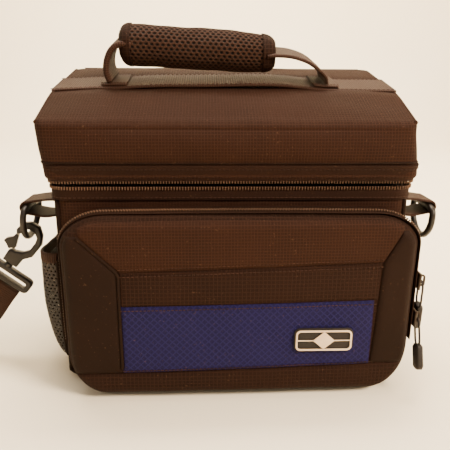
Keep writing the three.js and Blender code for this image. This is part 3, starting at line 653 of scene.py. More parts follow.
TURNS = 1.86
inner = strand(-math.pi / 2, TURNS)
outer = ROLL_CENTRE + (inner - ROLL_CENTRE) * (-1, -1, 1)
inward = (inner[0] - ROLL_CENTRE) * 0.42
middle = [ROLL_CENTRE + inward, ROLL_CENTRE, ROLL_CENTRE - inward]
straight_in = np.array([[-260, -12.0, 19.4], [-272, -12.0, 19.4]]) * MM
round_angle = np.radians(np.linspace(96, 166, 14))
round_radius = OUTER_TURN + 7.5 * MM * np.linspace(0.05, 1, 14)
last_turn = np.stack([np.cos(round_angle), np.sin(round_angle), 0 * round_angle], 1)
last_turn = last_turn * round_radius[:, None]
route = np.concatenate(
    [RUN * MM, straight_in, inner[::-1][2:], middle, outer, ROLL_CENTRE + last_turn, TAIL * MM]
)
route = smooth(even(route, 9 * MM), 3 * MM)
tangent = unit(np.gradient(route, axis=0))
up = np.array([0, 0, 1.0]) - tangent * tangent[:, 2:]
strap = sweep("shoulder_strap", route, unit(up), ribbon(STRAP_WIDTH, STRAP_THICKNESS))
dress(strap, "main", WEBBING, "webbing", "strap_run", "strap_roll", "strap_tail")
strap_length = lengths(route)[-1]
print("strap length in mm:", round(strap_length / MM))


# %% [markdown]
# ## Hard parts
# The rings, hooks, sliders, pulls, adjuster and badge keep the frame's shapes. A copy of each is
# merged, its flat faces are joined, and its edges are rounded, as a mould leaves them.

# %% Rounded copies of CAD nodes


def rounded(node, body, material, slot, radius=0.4, angle=32):
    """A copy of a node with doubled points merged, flat faces joined and sharp edges rounded."""
    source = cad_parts[node]
    made = bmesh.new()
    made.from_mesh(source.data)
    bmesh.ops.remove_doubles(made, verts=made.verts, dist=2e-6)
    bmesh.ops.dissolve_limit(made, angle_limit=math.radians(1.5), verts=made.verts, edges=made.edges)
    mesh = bpy.data.meshes.new(node + "_moulded")
    made.to_mesh(mesh)
    made.free()
    mesh.shade_smooth()
    piece = bpy.data.objects.new(node + "_moulded", mesh)
    bpy.context.scene.collection.objects.link(piece)
    bevel = piece.modifiers.new("edges", "BEVEL")
    bevel.width = radius * MM
    bevel.segments = 3
    bevel.limit_method = "ANGLE"
    bevel.angle_limit = math.radians(angle)
    bevel.harden_normals = True
    return dress(piece, body, material, slot, node)


for side, body in (("left", "hook_left"), ("free", "hook_free")):
    for part, moves in (("base", "main"), ("body", body), ("gate", "gate_" + side)):
        node = "hook_" + part + "_" + side
        rounded(node, moves, PLASTIC, "plastic", 0.7)
adjuster = rounded("strap_adjuster", "main", PLASTIC, "plastic", 0.6)
rounded("ring_left", "ring_left", PLASTIC, "plastic", 0.2, 60)
rounded("ring_right", "ring_right", PLASTIC, "plastic", 0.2, 60)
for name in ("pocket_upper", "pocket_lower", "main_left", "main_right"):
    rounded("slider_" + name, "slider_" + name, METAL, "metal", 0.3)
    rounded("pull_" + name, "pull_" + name, RUBBER, "rubber", 0.3, 50)

# %% [markdown]
# ## Rounded boxes
# The body and the lid are both rounded boxes with thick walls. A rounded rectangle is written as
# corner centres pushed out by a radius, and a shell is a stack of them: up the outside, over the
# rim, down the inside, and inwards until each end closes on a line.

# %% Rounded rectangle


class Ring:
    """Points round a rounded rectangle. Each has a slide along x and y from -1 to 1, which places
    its corner centre, and an angle, which is the way it faces."""

    def __init__(self, along_x=72, along_y=40, corner=8):
        def side(fixed, count, angle, sign):
            run = np.linspace(-1, 1, count, endpoint=False) * sign
            both = (np.full(count, fixed), run) if angle % 180 == 0 else (run, np.full(count, fixed))
            return (*both, np.full(count, float(angle)))

        def bend(sx, sy, angle):
            turned = np.linspace(angle, angle + 90, corner, endpoint=False)
            return np.full(corner, sx), np.full(corner, sy), turned

        parts = [
            side(1.0, along_y, 0, 1),
            bend(1.0, 1.0, 0),
            side(1.0, along_x, 90, -1),
            bend(-1.0, 1.0, 90),
            side(-1.0, along_y, 180, -1),
            bend(-1.0, -1.0, 180),
            side(-1.0, along_x, 270, 1),
            bend(1.0, -1.0, 270),
        ]
        self.slide_x, self.slide_y, angle = (np.concatenate(p) for p in zip(*parts))
        self.out = np.stack([np.cos(np.radians(angle)), np.sin(np.radians(angle))], 1)

    def points(self, half_x, half_y, radius):
        """x and y for each row: slide * (half - radius) + radius * direction."""
        half_x, half_y, radius = (np.asarray(v, float)[:, None] for v in (half_x, half_y, radius))
        x = self.slide_x * (half_x - radius) + radius * self.out[:, 0]
        y = self.slide_y * (half_y - radius) + radius * self.out[:, 1]
        return x, y


def shrink(half_x, half_y, corner, inset):
    """Half sizes and corner radius of the rectangle pulled in by inset."""
    inset = np.asarray(inset, float)
    return half_x - inset, half_y - inset, np.maximum(corner - inset, 0)


def wrinkle(x, y, size, seed=0.0):
    """Soft, fixed unevenness from -1 to 1: a sum of four waves in different directions."""
    total = 0
    for k in range(4):
        angle = seed + 1.9 * k
        wave = (1.0 + 0.37 * k) * 2 * math.pi / size
        total = total + np.sin(wave * (x * math.cos(angle) + y * math.sin(angle)) + 2.3 * k + seed)
    return total / 4


def falloff(distance, reach):
    """One at a seam, fading to nothing a few reaches away from it."""
    return np.exp(-np.abs(distance) / reach)


def line_inside(piece, half_x, half_y, chosen):
    """Gives the lining to the faces within half_x and half_y whose middles chosen picks."""
    centres = np.empty(len(piece.data.polygons) * 3, np.float32)
    piece.data.polygons.foreach_get("center", centres)
    centres = centres.reshape(-1, 3).astype(float)
    within = (np.abs(centres[:, 0]) < half_x) & (np.abs(centres[:, 1]) < half_y) & chosen(centres)
    piece.data.materials.append(LINING)
    piece.data.polygons.foreach_set("material_index", within.astype(np.int32))


# %% [markdown]
# ## The body
# The body's walls are foam between two cloths. The outside swells a little between its seams, and
# the bottom edge is bound all round. One shell makes the outside, the rim, the inside and the floor.

# %% Body shell
ring = Ring()
EDGE = 6 * MM
quarter = np.linspace(0, math.pi / 2, 7)
half_turn = np.linspace(0, math.pi, 13)
rim_radius = WALL / 2
floor_top = corners("floor_board")[1][2] - 0.4 * MM

under = np.linspace(body_y, EDGE, 14)[:-1]
edge_inset, edge_z = EDGE * (1 - np.sin(quarter)), EDGE * (1 - np.cos(quarter))
wall_z = np.linspace(EDGE, body_top - rim_radius, 60)[1:-1]
rim_inset = rim_radius * (1 - np.cos(half_turn))
rim_z = body_top - rim_radius + rim_radius * np.sin(half_turn)
inside_z = np.linspace(body_top - rim_radius, floor_top, 30)[1:]
floor_inset = np.linspace(WALL, body_y, 12)[1:]
inset = np.concatenate(
    [under, edge_inset, 0 * wall_z, rim_inset, 0 * inside_z + WALL, floor_inset]
)
height = np.concatenate(
    [0 * under, edge_z, wall_z, rim_z, inside_z, 0 * floor_inset + floor_top]
)
x, y = ring.points(*shrink(body_x, body_y, BODY_CORNER, inset))
z = np.broadcast_to(height[:, None], x.shape)
row = np.arange(len(inset)) - len(under)
outside = (row >= 0) & (row <= len(edge_inset) + len(wall_z))
level_part = np.sin(math.pi * np.clip(z / body_top, 0, 1)) * outside[:, None]
along = np.where(np.abs(ring.out[:, 1]) > 0.9, ring.slide_x, ring.slide_y)
swell = level_part * (1 - along**4) * np.where(ring.out[:, 1] < -0.5, 0.2, 2.2) * MM
swell = swell + outside[:, None] * 0.35 * MM * wrinkle(x + y, z, 55 * MM)
grid = np.stack([x + swell * ring.out[:, 0], y + swell * ring.out[:, 1], z], 2)
body = closed_grid("body_shell", grid)
WALL_NODES = ("wall_front", "wall_back", "wall_left", "wall_right")
dress(body, "main", GRID, "fabric", "base_panel", *WALL_NODES, fill=0.7)
line_inside(body, body_x - WALL * 0.7, body_y - WALL * 0.7, lambda centres: centres[:, 2] > 8 * MM)
print("body shell:", len(body.data.polygons), "faces")

# %% Body piping and binding


def rectangle_path(half_x, half_y, radius, z, step=2 * MM):
    """A closed path round a rounded rectangle at one height."""
    loop = Ring(60, 32, 10)
    px, py = loop.points([half_x], [half_y], [radius])
    path = np.stack([px[0], py[0], np.full(px.shape[1], z)], 1)
    return even(np.concatenate([path, path[:1]]), step)[:-1]


def piping(name, path, radius, body, closed=False, out=(0, 0, 1), material=PLAIN, slot="fabric"):
    """Cloth rolled round a cord and sewn into a seam: a small round tube."""
    piece = sweep(name, path, out, disc(radius, 10), closed)
    return dress(piece, body, material, slot)


bound = rectangle_path(body_x - 1.2 * MM, body_y - 1.2 * MM, 12 * MM, 5 * MM)
piping("base_piping", bound, 1.9 * MM, "main", True)
corner_reach = BODY_CORNER * (1 - math.sqrt(0.5)) - 0.2 * MM
post = np.linspace(EDGE, body_top - WALL, 60)
for side, sx in SIDES:
    for end, sy in (("front", -1), ("back", 1)):
        px = sx * (body_x - corner_reach) + 0 * post
        py = sy * (body_y - corner_reach) + 0 * post
        corner_line = np.stack([px, py, post], 1)
        piping("piping_" + end + "_" + side, corner_line, 1.7 * MM, "main", out=(1, 0, 0))
print("posts of piping, height in mm:", round((post[-1] - post[0]) / MM))

# %% [markdown]
# ## Dividers and floor
# Inside, a stiff board covered with brushed cloth lies on the bottom, and two padded dividers stand
# on it. Each is a rounded slab that swells between its edges.

# %% Padded slabs


def cushion(name, low, high, axis, corner, swell):
    """A rounded slab between two corners. Across its thin axis both faces stand out by
    swell * (1 - u^4)(1 - v^4) and fall to a rounded edge."""
    low, high = np.array(low), np.array(high)
    first, second = (k for k in range(3) if k != axis)
    centre, half = (low + high) / 2, (high - low) / 2
    loop = Ring(36, 36, 6)
    edge = min(half[axis], 3.5 * MM)
    turn = np.linspace(0, math.pi / 2, 6)
    inner = np.linspace(min(half[first], half[second]), edge, 12)[:-1]
    rings = np.concatenate([inner, edge * (1 - np.sin(turn))])
    depth = np.concatenate([np.full(11, 1.0), 1 - (edge / half[axis]) * (1 - np.cos(turn))])
    px, py = loop.points(*shrink(half[first], half[second], corner, rings))
    full = (1 - (px / half[first]) ** 4) * (1 - (py / half[second]) ** 4)
    crown = 1 + swell / half[axis] * full
    top = depth[:, None] * half[axis] * crown
    sheet = np.zeros((*px.shape, 3))
    sheet[..., first], sheet[..., second], sheet[..., axis] = px, py, -top
    other = sheet[::-1].copy()
    other[..., axis] *= -1
    grid = np.concatenate([sheet, other]) + centre
    return closed_grid(name, grid, flip=axis == 1)


for side in ("left", "right"):
    low, high = corners("divider_" + side)
    pad = cushion("divider_pad_" + side, low + 0.4 * MM, high - 0.4 * MM, 0, 10 * MM, 0.3 * MM)
    dress(pad, "divider_" + side, LINING, "lining", "divider_" + side, fill=0.6)
low, high = corners("floor_board")
board = cushion("floor_pad", low + (0, 0, 0.1 * MM), high, 2, 5 * MM, 0.2 * MM)
dress(board, "main", LINING, "lining", "floor_board", fill=0.5)
print("floor board:", len(board.data.polygons), "faces")

# %% [markdown]
# ## The lid
# The lid is a padded cap whose roof climbs from a stitched fold at the front, over a soft bend, to
# a high back edge. The roof's height depends only on y, and the walls rise to meet it. Stitching
# pulls the cloth in along the fold, so short puckers stand out on both sides of it.

# %% Lid shell


def roof(py):
    """Height of the roof over y: two slopes, averaged over a short run so that the bend is soft."""
    at = [-lid_y, break_y, lid_y]
    heights = [lid_fold, break_z, roof_back]
    return sum(np.interp(py + shift, at, heights) for shift in (-8 * MM, 0, 8 * MM)) / 3


def lean(points):
    """The soft lid leans to the left: -3.5 mm times a smooth step from the skirt up to the roof."""
    t = np.clip((points[..., 2] - lid_bottom) / (37 * MM), 0, 1)
    shift = LEAN_LEFT * t * t * (3 - 2 * t)
    return points + np.stack([shift, 0 * shift, 0 * shift], -1)


lid_ring = Ring(120, 56, 8)
ROOF_EDGE = 4 * MM
ROOF_RIM = 14 * MM
HEM = 3.5 * MM
hem_top = lid_bottom + HEM
turn = np.linspace(0, math.pi / 2, 7)
ceiling = np.linspace(lid_y, LID_WALL, 16)
inner_rise = np.linspace(1, 0, 20)[1:]
hem = np.linspace(0, math.pi, 9)
skirt_z = np.linspace(hem_top, lid_seam, 8)
outer_rise = np.linspace(0, 1, 24)[1:]
roof_edge = ROOF_EDGE * (1 - np.cos(turn))[1:]
roof_in = [np.linspace(ROOF_EDGE, ROOF_RIM, 8)[1:], np.linspace(ROOF_RIM, lid_y, 34)[1:]]
roof_in = np.concatenate(roof_in)
bands = [
    ceiling,
    0 * inner_rise + LID_WALL,
    LID_WALL / 2 * (1 + np.cos(hem)),
    0 * skirt_z,
    0 * outer_rise,
    roof_edge,
    roof_in,
]
inset = np.concatenate(bands)
x, y = lid_ring.points(*shrink(lid_x, lid_y, LID_CORNER, inset))
top = roof(y)
ends = np.cumsum([len(band) for band in bands])
rows = [slice(end - len(band), end) for band, end in zip(bands, ends)]
z = np.empty_like(x)
z[rows[0]] = top[rows[0]] - LID_WALL
z[rows[1]] = hem_top + inner_rise[:, None] * (top[rows[1]] - LID_WALL - hem_top)
z[rows[2]] = hem_top - HEM * np.sin(hem)[:, None]
z[rows[3]] = skirt_z[:, None]
z[rows[4]] = lid_seam + outer_rise[:, None] * (top[rows[4]] - ROOF_EDGE - lid_seam)
z[rows[5]] = top[rows[5]] - ROOF_EDGE + ROOF_EDGE * np.sin(turn[1:])[:, None]
z[rows[6]] = top[rows[6]]
out_x, out_y = lid_ring.out[:, 0], lid_ring.out[:, 1]
along = np.where(np.abs(out_y) > 0.9, lid_ring.slide_x, lid_ring.slide_y)
wall_rise = np.zeros(len(inset))
wall_rise[rows[4]] = np.sin(math.pi * outer_rise) ** 0.7
pucker = np.sin(2 * math.pi * x / (6.5 * MM) + 1.5 * wrinkle(x, y, 60 * MM))
front_wall = (out_y < -0.7)[None, :] * (wall_rise > 0)[:, None]
swell = wall_rise[:, None] * (1 - along**6) * 3.2 * MM
swell = swell + front_wall * falloff(z - lid_fold, 2.6 * MM) * (0.55 * MM * pucker - 1.2 * MM)
swell = swell + wall_rise[:, None] * 0.5 * MM * wrinkle(x + y, z, 48 * MM, 0.7)
x, y = x + swell * out_x, y + swell * out_y
on_roof = np.zeros(len(inset))
on_roof[rows[5]], on_roof[rows[6]] = np.sin(turn[1:]), 1
u, v = x / lid_x, y / lid_y
crown = 2.4 * MM * (1 - np.abs(u) ** 5) * (1 - np.abs(v) ** 5)
pressed = -1.5 * MM * np.exp(-(((y - WEBBING_Y) / (21 * MM)) ** 6))
fold_pucker = falloff(y + lid_y, 4 * MM) * (0.6 * MM * pucker - 1.0 * MM)
bend_line = -0.5 * MM * falloff(y - break_y, 3 * MM)
relief = crown + pressed + fold_pucker + bend_line + 0.6 * MM * wrinkle(x, y, 70 * MM, 2.0)
z = z + on_roof[:, None] * relief
lid = closed_grid("lid_shell", lean(np.stack([x, y, z], 2)))
dress(lid, "lid", GRID, "padding", "lid_top", "lid_front", "lid_back", "lid_left", "lid_right", fill=0.7)


def under_roof(centres):
    """Whether faces lie under the roof's padding."""
    return centres[:, 2] < roof(centres[:, 1]) - LID_WALL * 0.8


line_inside(lid, lid_x - LID_WALL * 0.8, lid_y - LID_WALL * 0.8, under_roof)
print("lid shell:", len(lid.data.polygons), "faces")

# %% Lid seams
side_y = np.linspace(-lid_y + 5 * MM, lid_y - 6 * MM, 80)
for side, sx in SIDES:
    edge = np.stack([sx * (lid_x - 1.9 * MM) + 0 * side_y, side_y, roof(side_y) - 1.6 * MM], 1)
    piping("lid_piping_" + side, lean(edge), 1.5 * MM, "lid", material=GRID, slot="padding")
back_x = np.linspace(-lid_x + 8 * MM, lid_x - 8 * MM, 120)
edge = np.stack([back_x, 0 * back_x + lid_y - 1.4 * MM, 0 * back_x + roof(lid_y) - 1.5 * MM], 1)
piping("lid_piping_back", lean(edge), 1.5 * MM, "lid", material=GRID, slot="padding")
seam_path = rectangle_path(lid_x - 0.2 * MM, lid_y - 0.2 * MM, LID_CORNER, lid_seam + 0.4 * MM)
piping("lid_seam_piping", lean(seam_path), 1.0 * MM, "lid", True, slot="padding")


def stitches(name, path, out, body, slot, pitch=3.2 * MM):
    """A row of lock stitches: each is a short six-sided grain of thread, sunk at both ends. out is the
    way the cloth faces, once for the row or at each point."""
    out = np.broadcast_to(np.asarray(out, float), path.shape)
    both = even(np.concatenate([path, out * 1e-6], 1), pitch)
    path, out = both[:, :3], unit(both[:, 3:])
    tangent = unit(np.gradient(path, axis=0))
    side = np.cross(tangent, out)
    size = 0.32 * MM
    t = np.array([-0.42, -0.28, 0.0, 0.28, 0.42]) * pitch
    thick = np.array([0.05, 0.8, 1.0, 0.8, 0.05]) * size
    a = np.arange(6) * math.pi / 3
    lift = np.array([-0.5, 0.1, 0.4, 0.1, -0.5]) * size
    points = (
        path[:, None, None]
        + t[None, :, None, None] * tangent[:, None, None]
        + (lift[:, None] + thick[:, None] * np.cos(a))[None, :, :, None] * out[:, None, None]
        + (thick[:, None] * np.sin(a))[None, :, :, None] * side[:, None, None]
    )
    faces = grid_faces(5, 6, True)
    index = (np.arange(len(path)) * 30)[:, None, None] + faces[None]
    piece = new_mesh(name, points.reshape(-1, 3), index.reshape(-1, 4))
    return dress(piece, body, WEBBING, slot)


fold_x = np.linspace(-lid_x + 10 * MM, lid_x - 10 * MM, 160)
fold_path = np.stack([fold_x, 0 * fold_x - lid_y + 4.4 * MM, 0 * fold_x + lid_fold + 1.1 * MM], 1)
stitches("fold_stitches", lean(fold_path), (0, -0.4, 0.9), "lid", "padding")
print("fold stitching in mm:", round(lengths(fold_path)[-1] / MM))

# %% [markdown]
# ## Front pocket
# The pocket is a shallow box whose front panel opens on a long arched zip. The panel is foam, faced
# with six cloths that meet in seams: smooth cloth at the two ends, a fine grid above, a dark band,
# a blue ripstop band, and ripstop along the bottom. Each facing is a ruled patch: a grid between
# two edges, laid on the crowned face, thin at its borders where it is sewn down.

# %% Pocket outline and panel
POCKET_CENTRE = (pocket_low[0] + pocket_high[0]) / 2
pocket_half = (pocket_high[0] - pocket_low[0]) / 2
middle_z = pocket_bottom + 50 * MM


def oval(cx, cz, rx, rz, start_angle, count=18):
    """A quarter of an ellipse, counter-clockwise from start_angle in degrees."""
    a = np.radians(np.linspace(start_angle, start_angle + 90, count))
    return np.stack([cx + rx * np.cos(a), cz + rz * np.sin(a)], 1)


def pocket_outline(grow=0.0, step=2 * MM, count=None):
    """The panel's outline in x and z, counter-clockwise from the middle of its bottom edge: large
    round corners at the bottom, smaller ones at the top, under a slightly arched top edge."""
    low = (26 * MM + grow, 34 * MM + grow)
    high = (30 * MM + grow, 21 * MM + grow)
    reach = pocket_half - 26 * MM
    shoulder = pocket_half - 30 * MM
    low_z, high_z = pocket_bottom + 34 * MM, pocket_top - 21.5 * MM
    arch_x = np.linspace(shoulder, -shoulder, 30)[1:-1]
    arch = np.stack([arch_x, high_z + high[1] + 0.5 * MM * (1 - (arch_x / shoulder) ** 2)], 1)
    path = np.concatenate(
        [
            [[0, low_z - low[1]]],
            oval(reach, low_z, *low, -90),
            oval(shoulder, high_z, *high, 0),
            arch,
            oval(-shoulder, high_z, *high, 90),
            oval(-reach, low_z, *low, 180),
            [[0, low_z - low[1]]],
        ]
    )
    path[:, 0] += POCKET_CENTRE
    if count:
        run = lengths(path)
        at = np.linspace(0, run[-1], count + 1)[:-1]
        return np.stack([np.interp(at, run, path[:, k]) for k in (0, 1)], 1)
    return even(path, step)[:-1]


FACE = pocket_face - 0.3 * MM


def face_y(px, pz):
    """The panel's crowned face: 1.7 mm * (1 - u^2)(1 - 0.8 v^2) fuller in the middle, and 1.8 mm * u
    thinner towards the right, with a soft unevenness."""
    u = (px - POCKET_CENTRE) / pocket_half
    v = (pz - middle_z) / (66 * MM)
    full = 1.7 * MM * (1 - u**2) * (1 - 0.8 * v**2) - 1.8 * MM * u
    sag = 0.35 * MM * wrinkle(px, pz, 80 * MM, 1.1)
    return FACE - full - sag


def edge_roll(distance):
    """How far a face has rolled back at a distance inside its outline: a quarter circle."""
    radius = 9 * MM
    inside = np.clip(distance / radius, 0, 1)
    return radius * (1 - np.sqrt(np.clip(1 - (1 - inside) ** 2, 0, 1)))


outline = pocket_outline(count=260)
spine = outline * 0
spine[:, 0] = np.clip(outline[:, 0], POCKET_CENTRE - 55 * MM, POCKET_CENTRE + 55 * MM)
spine[:, 1] = middle_z + 14 * MM
share = np.concatenate([[0, 0.004, 0.012, 0.024, 0.042, 0.066, 0.096, 0.13], np.linspace(0.18, 1, 24)])
flat = outline[None] + (spine - outline)[None] * share[:, None, None]
inside = np.linalg.norm(flat - outline[None], axis=2)
face = np.stack([flat[..., 0], face_y(flat[..., 0], flat[..., 1]) + edge_roll(inside), flat[..., 1]], 2)
back_y = pocket_split - 0.2 * MM
side_y = back_y + (face[0, :, 1] - back_y)[None] * np.linspace(0, 1, 6)[:-1, None]
side = np.stack([np.broadcast_to(outline[None, :, k], side_y.shape) for k in (0, 1)], 2)
side = np.stack([side[..., 0], side_y, side[..., 1]], 2)
back = np.stack([flat[..., 0], 0 * flat[..., 0] + back_y, flat[..., 1]], 2)[::-1]
panel = closed_grid("pocket_panel_pad", np.concatenate([back[:-1], side, face]), flip=True)
dress(panel, "pocket_flap", RIPSTOP, "padding", "pocket_panel", fill=0.7)
print("pocket panel:", len(panel.data.polygons), "faces")


# %% Facing patches
def patch(name, along, low_edge, high_edge, upright, material, slot, node, puff, rise):
    """A ruled patch between two edges. along runs over x if upright, else over z. It stands rise + puff
    proud: (1 - exp(-distance / 1.1 mm)) at its borders, and puff * (1 - u^4)(1 - v^4) over its middle."""
    t = np.linspace(0, 1, 30)[:, None]
    low_edge, high_edge = np.asarray(low_edge)[None], np.asarray(high_edge)[None]
    ruled = low_edge + (high_edge - low_edge) * t
    along = np.broadcast_to(along[None], ruled.shape)
    px, pz = (along, ruled) if upright else (ruled, along)
    span = np.maximum(high_edge - low_edge, 0.01 * MM)
    inner = np.minimum(t, 1 - t) * span
    ends = np.minimum(along - along[:, :1], along[:, -1:] - along)
    border = np.minimum(inner, ends)
    u = 2 * (along - along[:, :1]) / (along[:, -1:] - along[:, :1]) - 1
    middle = (1 - u**4) * (1 - (2 * t - 1) ** 4)
    roll = edge_roll(outline_distance(px, pz))
    proud = rise * MM * (1 - np.exp(-border / (1.1 * MM))) + puff * MM * middle
    base = face_y(px, pz) + roll
    front = np.stack([px, base - proud - 0.15 * MM, pz], 2)
    behind = np.stack([px, base + 0.5 * MM, pz], 2)
    if upright:
        piece = slab(name, front[::-1], behind[::-1])
    else:
        piece = slab(name, front, behind)
    return dress(piece, "pocket_flap", material, slot, node)


def outline_distance(px, pz):
    """Distance from points to the pocket's outline, for points near or inside it."""
    loop = pocket_outline(step=1.5 * MM)
    points = np.stack([px.ravel(), pz.ravel()], 1)
    nearest = np.concatenate(
        [
            np.sqrt(((part[:, None] - loop[None]) ** 2).sum(2)).min(1)
            for part in np.array_split(points, max(1, len(points) // 2000))
        ]
    )
    return nearest.reshape(px.shape)


LEFT_SEAM, RIGHT_SEAM = POCKET_CENTRE - 80 * MM, POCKET_CENTRE + 93.5 * MM


# Heights of each seam at the left seam and at the right one.
SEAM_LOW = (21.5 * MM, 25 * MM)
SEAM_BLUE = (70.7 * MM, 73 * MM)
SEAM_SLIP = (94.5 * MM, 99.5 * MM)


def seam(heights, px):
    """Height over x of a seam that climbs a little from left to right."""
    left_z, right_z = heights
    return left_z + (px - LEFT_SEAM) / (RIGHT_SEAM - LEFT_SEAM) * (right_z - left_z)


inner_edge = pocket_outline(-3.2 * MM, step=0.5 * MM)


def edge_z(px, upper):
    """Height of the facing's outer edge over x, on the upper or lower half of the outline."""
    half = inner_edge[(inner_edge[:, 1] > middle_z) == upper]
    half = half[np.argsort(half[:, 0])]
    return np.interp(px, half[:, 0], half[:, 1])


def edge_x(pz, right_side):
    """Place of the facing's outer edge over z, on the left or right half of the outline."""
    half = inner_edge[(inner_edge[:, 0] > POCKET_CENTRE) == right_side]
    half = half[np.argsort(half[:, 1])]
    return np.interp(pz, half[:, 1], half[:, 0])


GROOVE = 0.25 * MM

px = np.linspace(LEFT_SEAM + GROOVE, RIGHT_SEAM - 4 * MM, 120)
low_z, high_z = seam(SEAM_LOW, px) + GROOVE, seam(SEAM_BLUE, px)
patch("blue_cloth", px, low_z, high_z, True, BLUE, "blue", "blue_band", 0.3, 1.4)
px = np.linspace(LEFT_SEAM + GROOVE, RIGHT_SEAM - 1.4 * MM, 120)
low_z, high_z = seam(SEAM_BLUE, px) + 0.3 * MM, seam(SEAM_SLIP, px) - GROOVE
patch("slip_cloth", px, low_z, high_z, True, RIPSTOP, "fabric", "slip_band", 0.5, 0.9)
px = np.linspace(edge_x(22 * MM, False) + 0.5 * MM, edge_x(24 * MM, True) - 0.5 * MM, 150)
low_z, high_z = edge_z(px, False), seam(SEAM_LOW, px) - GROOVE
patch("bottom_cloth", px, low_z, high_z, True, RIPSTOP, "fabric", "facing_bottom", 0.8, 1.0)
pz = np.linspace(21.5 * MM, 119 * MM, 110)
left_line = LEFT_SEAM - GROOVE - np.clip(pz - SEAM_SLIP[0], 0, None) * 1.02
left_line = np.maximum(left_line, edge_x(pz, False) + 0.3 * MM)
patch("left_cloth", pz, edge_x(pz, False), left_line, False, PLAIN, "fabric", "facing_left", 1.6, 1.3)
pz = np.linspace(25.6 * MM, 121 * MM, 110)
right_line = RIGHT_SEAM - 3.6 * MM + 3.6 * MM * np.clip((pz - 25 * MM) / (74 * MM), 0, 1)
right_line = right_line + np.clip(pz - SEAM_SLIP[1], 0, None) * 0.55
right_line = np.minimum(right_line, edge_x(pz, True) - 0.3 * MM)
patch("right_cloth", pz, right_line, edge_x(pz, True), False, PLAIN, "fabric", "facing_right", 0.9, 1.2)
px = np.linspace(LEFT_SEAM - 25 * MM, RIGHT_SEAM + 12.5 * MM, 150)
lower = seam(SEAM_SLIP, np.clip(px, LEFT_SEAM, RIGHT_SEAM))
lower = lower + np.clip(LEFT_SEAM - px, 0, None) / 1.02 + np.clip(px - RIGHT_SEAM, 0, None) / 0.55
lower = np.minimum(lower, edge_z(px, True) - 0.4 * MM)
patch("upper_cloth", px, lower + GROOVE, edge_z(px, True), True, GRID, "fabric", "facing_upper", 0.9, 1.0)
print("seams at the left, in mm:", [round(h[0] / MM, 1) for h in (SEAM_LOW, SEAM_BLUE, SEAM_SLIP)])

# %% Raised seams and stitching on the panel


def on_face(px, pz, proud):
    """Points on the panel's face, proud of it."""
    px, pz = np.asarray(px, float), np.asarray(pz, float)
    base = face_y(px, pz) + edge_roll(outline_distance(px, pz))
    return np.stack([px, base - proud, pz], 1)


down = np.linspace(1, 0, 24)
diagonal = on_face(LEFT_SEAM - 25 * MM * down, SEAM_SLIP[0] + 24.5 * MM * down, 1.1 * MM)
down_z = np.linspace(SEAM_SLIP[0], 22 * MM, 40)[1:]
upright = on_face(LEFT_SEAM + 0 * down_z, down_z, 1.1 * MM)
seam_line = smooth(np.concatenate([diagonal, upright])[::3], 2 * MM)
piping("seam_cord_left", seam_line, 1.1 * MM, "pocket_flap", out=(1, 0, 0))
FRONT, FLAP = (0, -1, 0), "pocket_flap"
hem_x = np.linspace(LEFT_SEAM + 1 * MM, RIGHT_SEAM - 4 * MM, 90)
for name, heights, rise in (("top", SEAM_BLUE, -2.2 * MM), ("bottom", SEAM_LOW, 2.2 * MM)):
    hem_z = seam(heights, hem_x) + rise
    stitches("blue_stitches_" + name, on_face(hem_x, hem_z, 1.6 * MM), FRONT, FLAP, "blue", 2.6 * MM)
hem_x = np.linspace(LEFT_SEAM + 1 * MM, RIGHT_SEAM - 1 * MM, 90)
for name, rise in (("slip", -2.4 * MM), ("upper", 2.6 * MM)):
    row = on_face(hem_x, seam(SEAM_SLIP, hem_x) + rise, 1.3 * MM)
    stitches(name + "_stitches", row, FRONT, FLAP, "fabric", 2.8 * MM)
rounded("badge_patch", "pocket_flap", RUBBER, "rubber", 0.4)
rounded("badge_emblem", "pocket_flap", EMBLEM, "emblem", 0.15)
print("left seam's piping in mm:", round(lengths(seam_line)[-1] / MM))

# %% [markdown]
# The gusset is a band that follows the pocket's outline: its outside, then its inside from back to
# front. The outside swells by 0.8 mm * sin(pi * depth).

# %% Pocket gusset
GUSSET = 5 * MM
GUSSET_NODES = ("gusset_top", "gusset_bottom", "gusset_left", "gusset_right")
far_y = pocket_split + 0.6 * MM
deep = np.linspace(0, 1, 9)
rows = []
for grow, order, puff in ((0, deep, 0.8 * MM), (-GUSSET, deep[::-1], 0)):
    loop = pocket_outline(grow, count=300)
    push = unit(loop - (POCKET_CENTRE, middle_z)) * puff
    for t in order:
        wall = loop + push * math.sin(math.pi * t)
        rows.append(np.insert(wall, 1, pocket_back + (far_y - pocket_back) * t, axis=1))
rows.append(rows[0])
grid = np.stack(rows)
gusset = new_mesh("pocket_gusset", grid.reshape(-1, 3), grid_faces(*grid.shape[:2], True))
dress(gusset, "main", RIPSTOP, "fabric", *GUSSET_NODES)
print("gusset:", len(gusset.data.polygons), "faces")

# %% [markdown]
# ## Zips
# Each zip half is a tape with a row of coil teeth along its edge. The lid's zip is open, so its two
# rows stand apart: one on the rim, one hanging under the lid. The pocket's zip is closed, so its two
# rows mesh. A tooth is a small rounded bar, and a row is one mesh of bars set along a path.

# %% Tapes and teeth


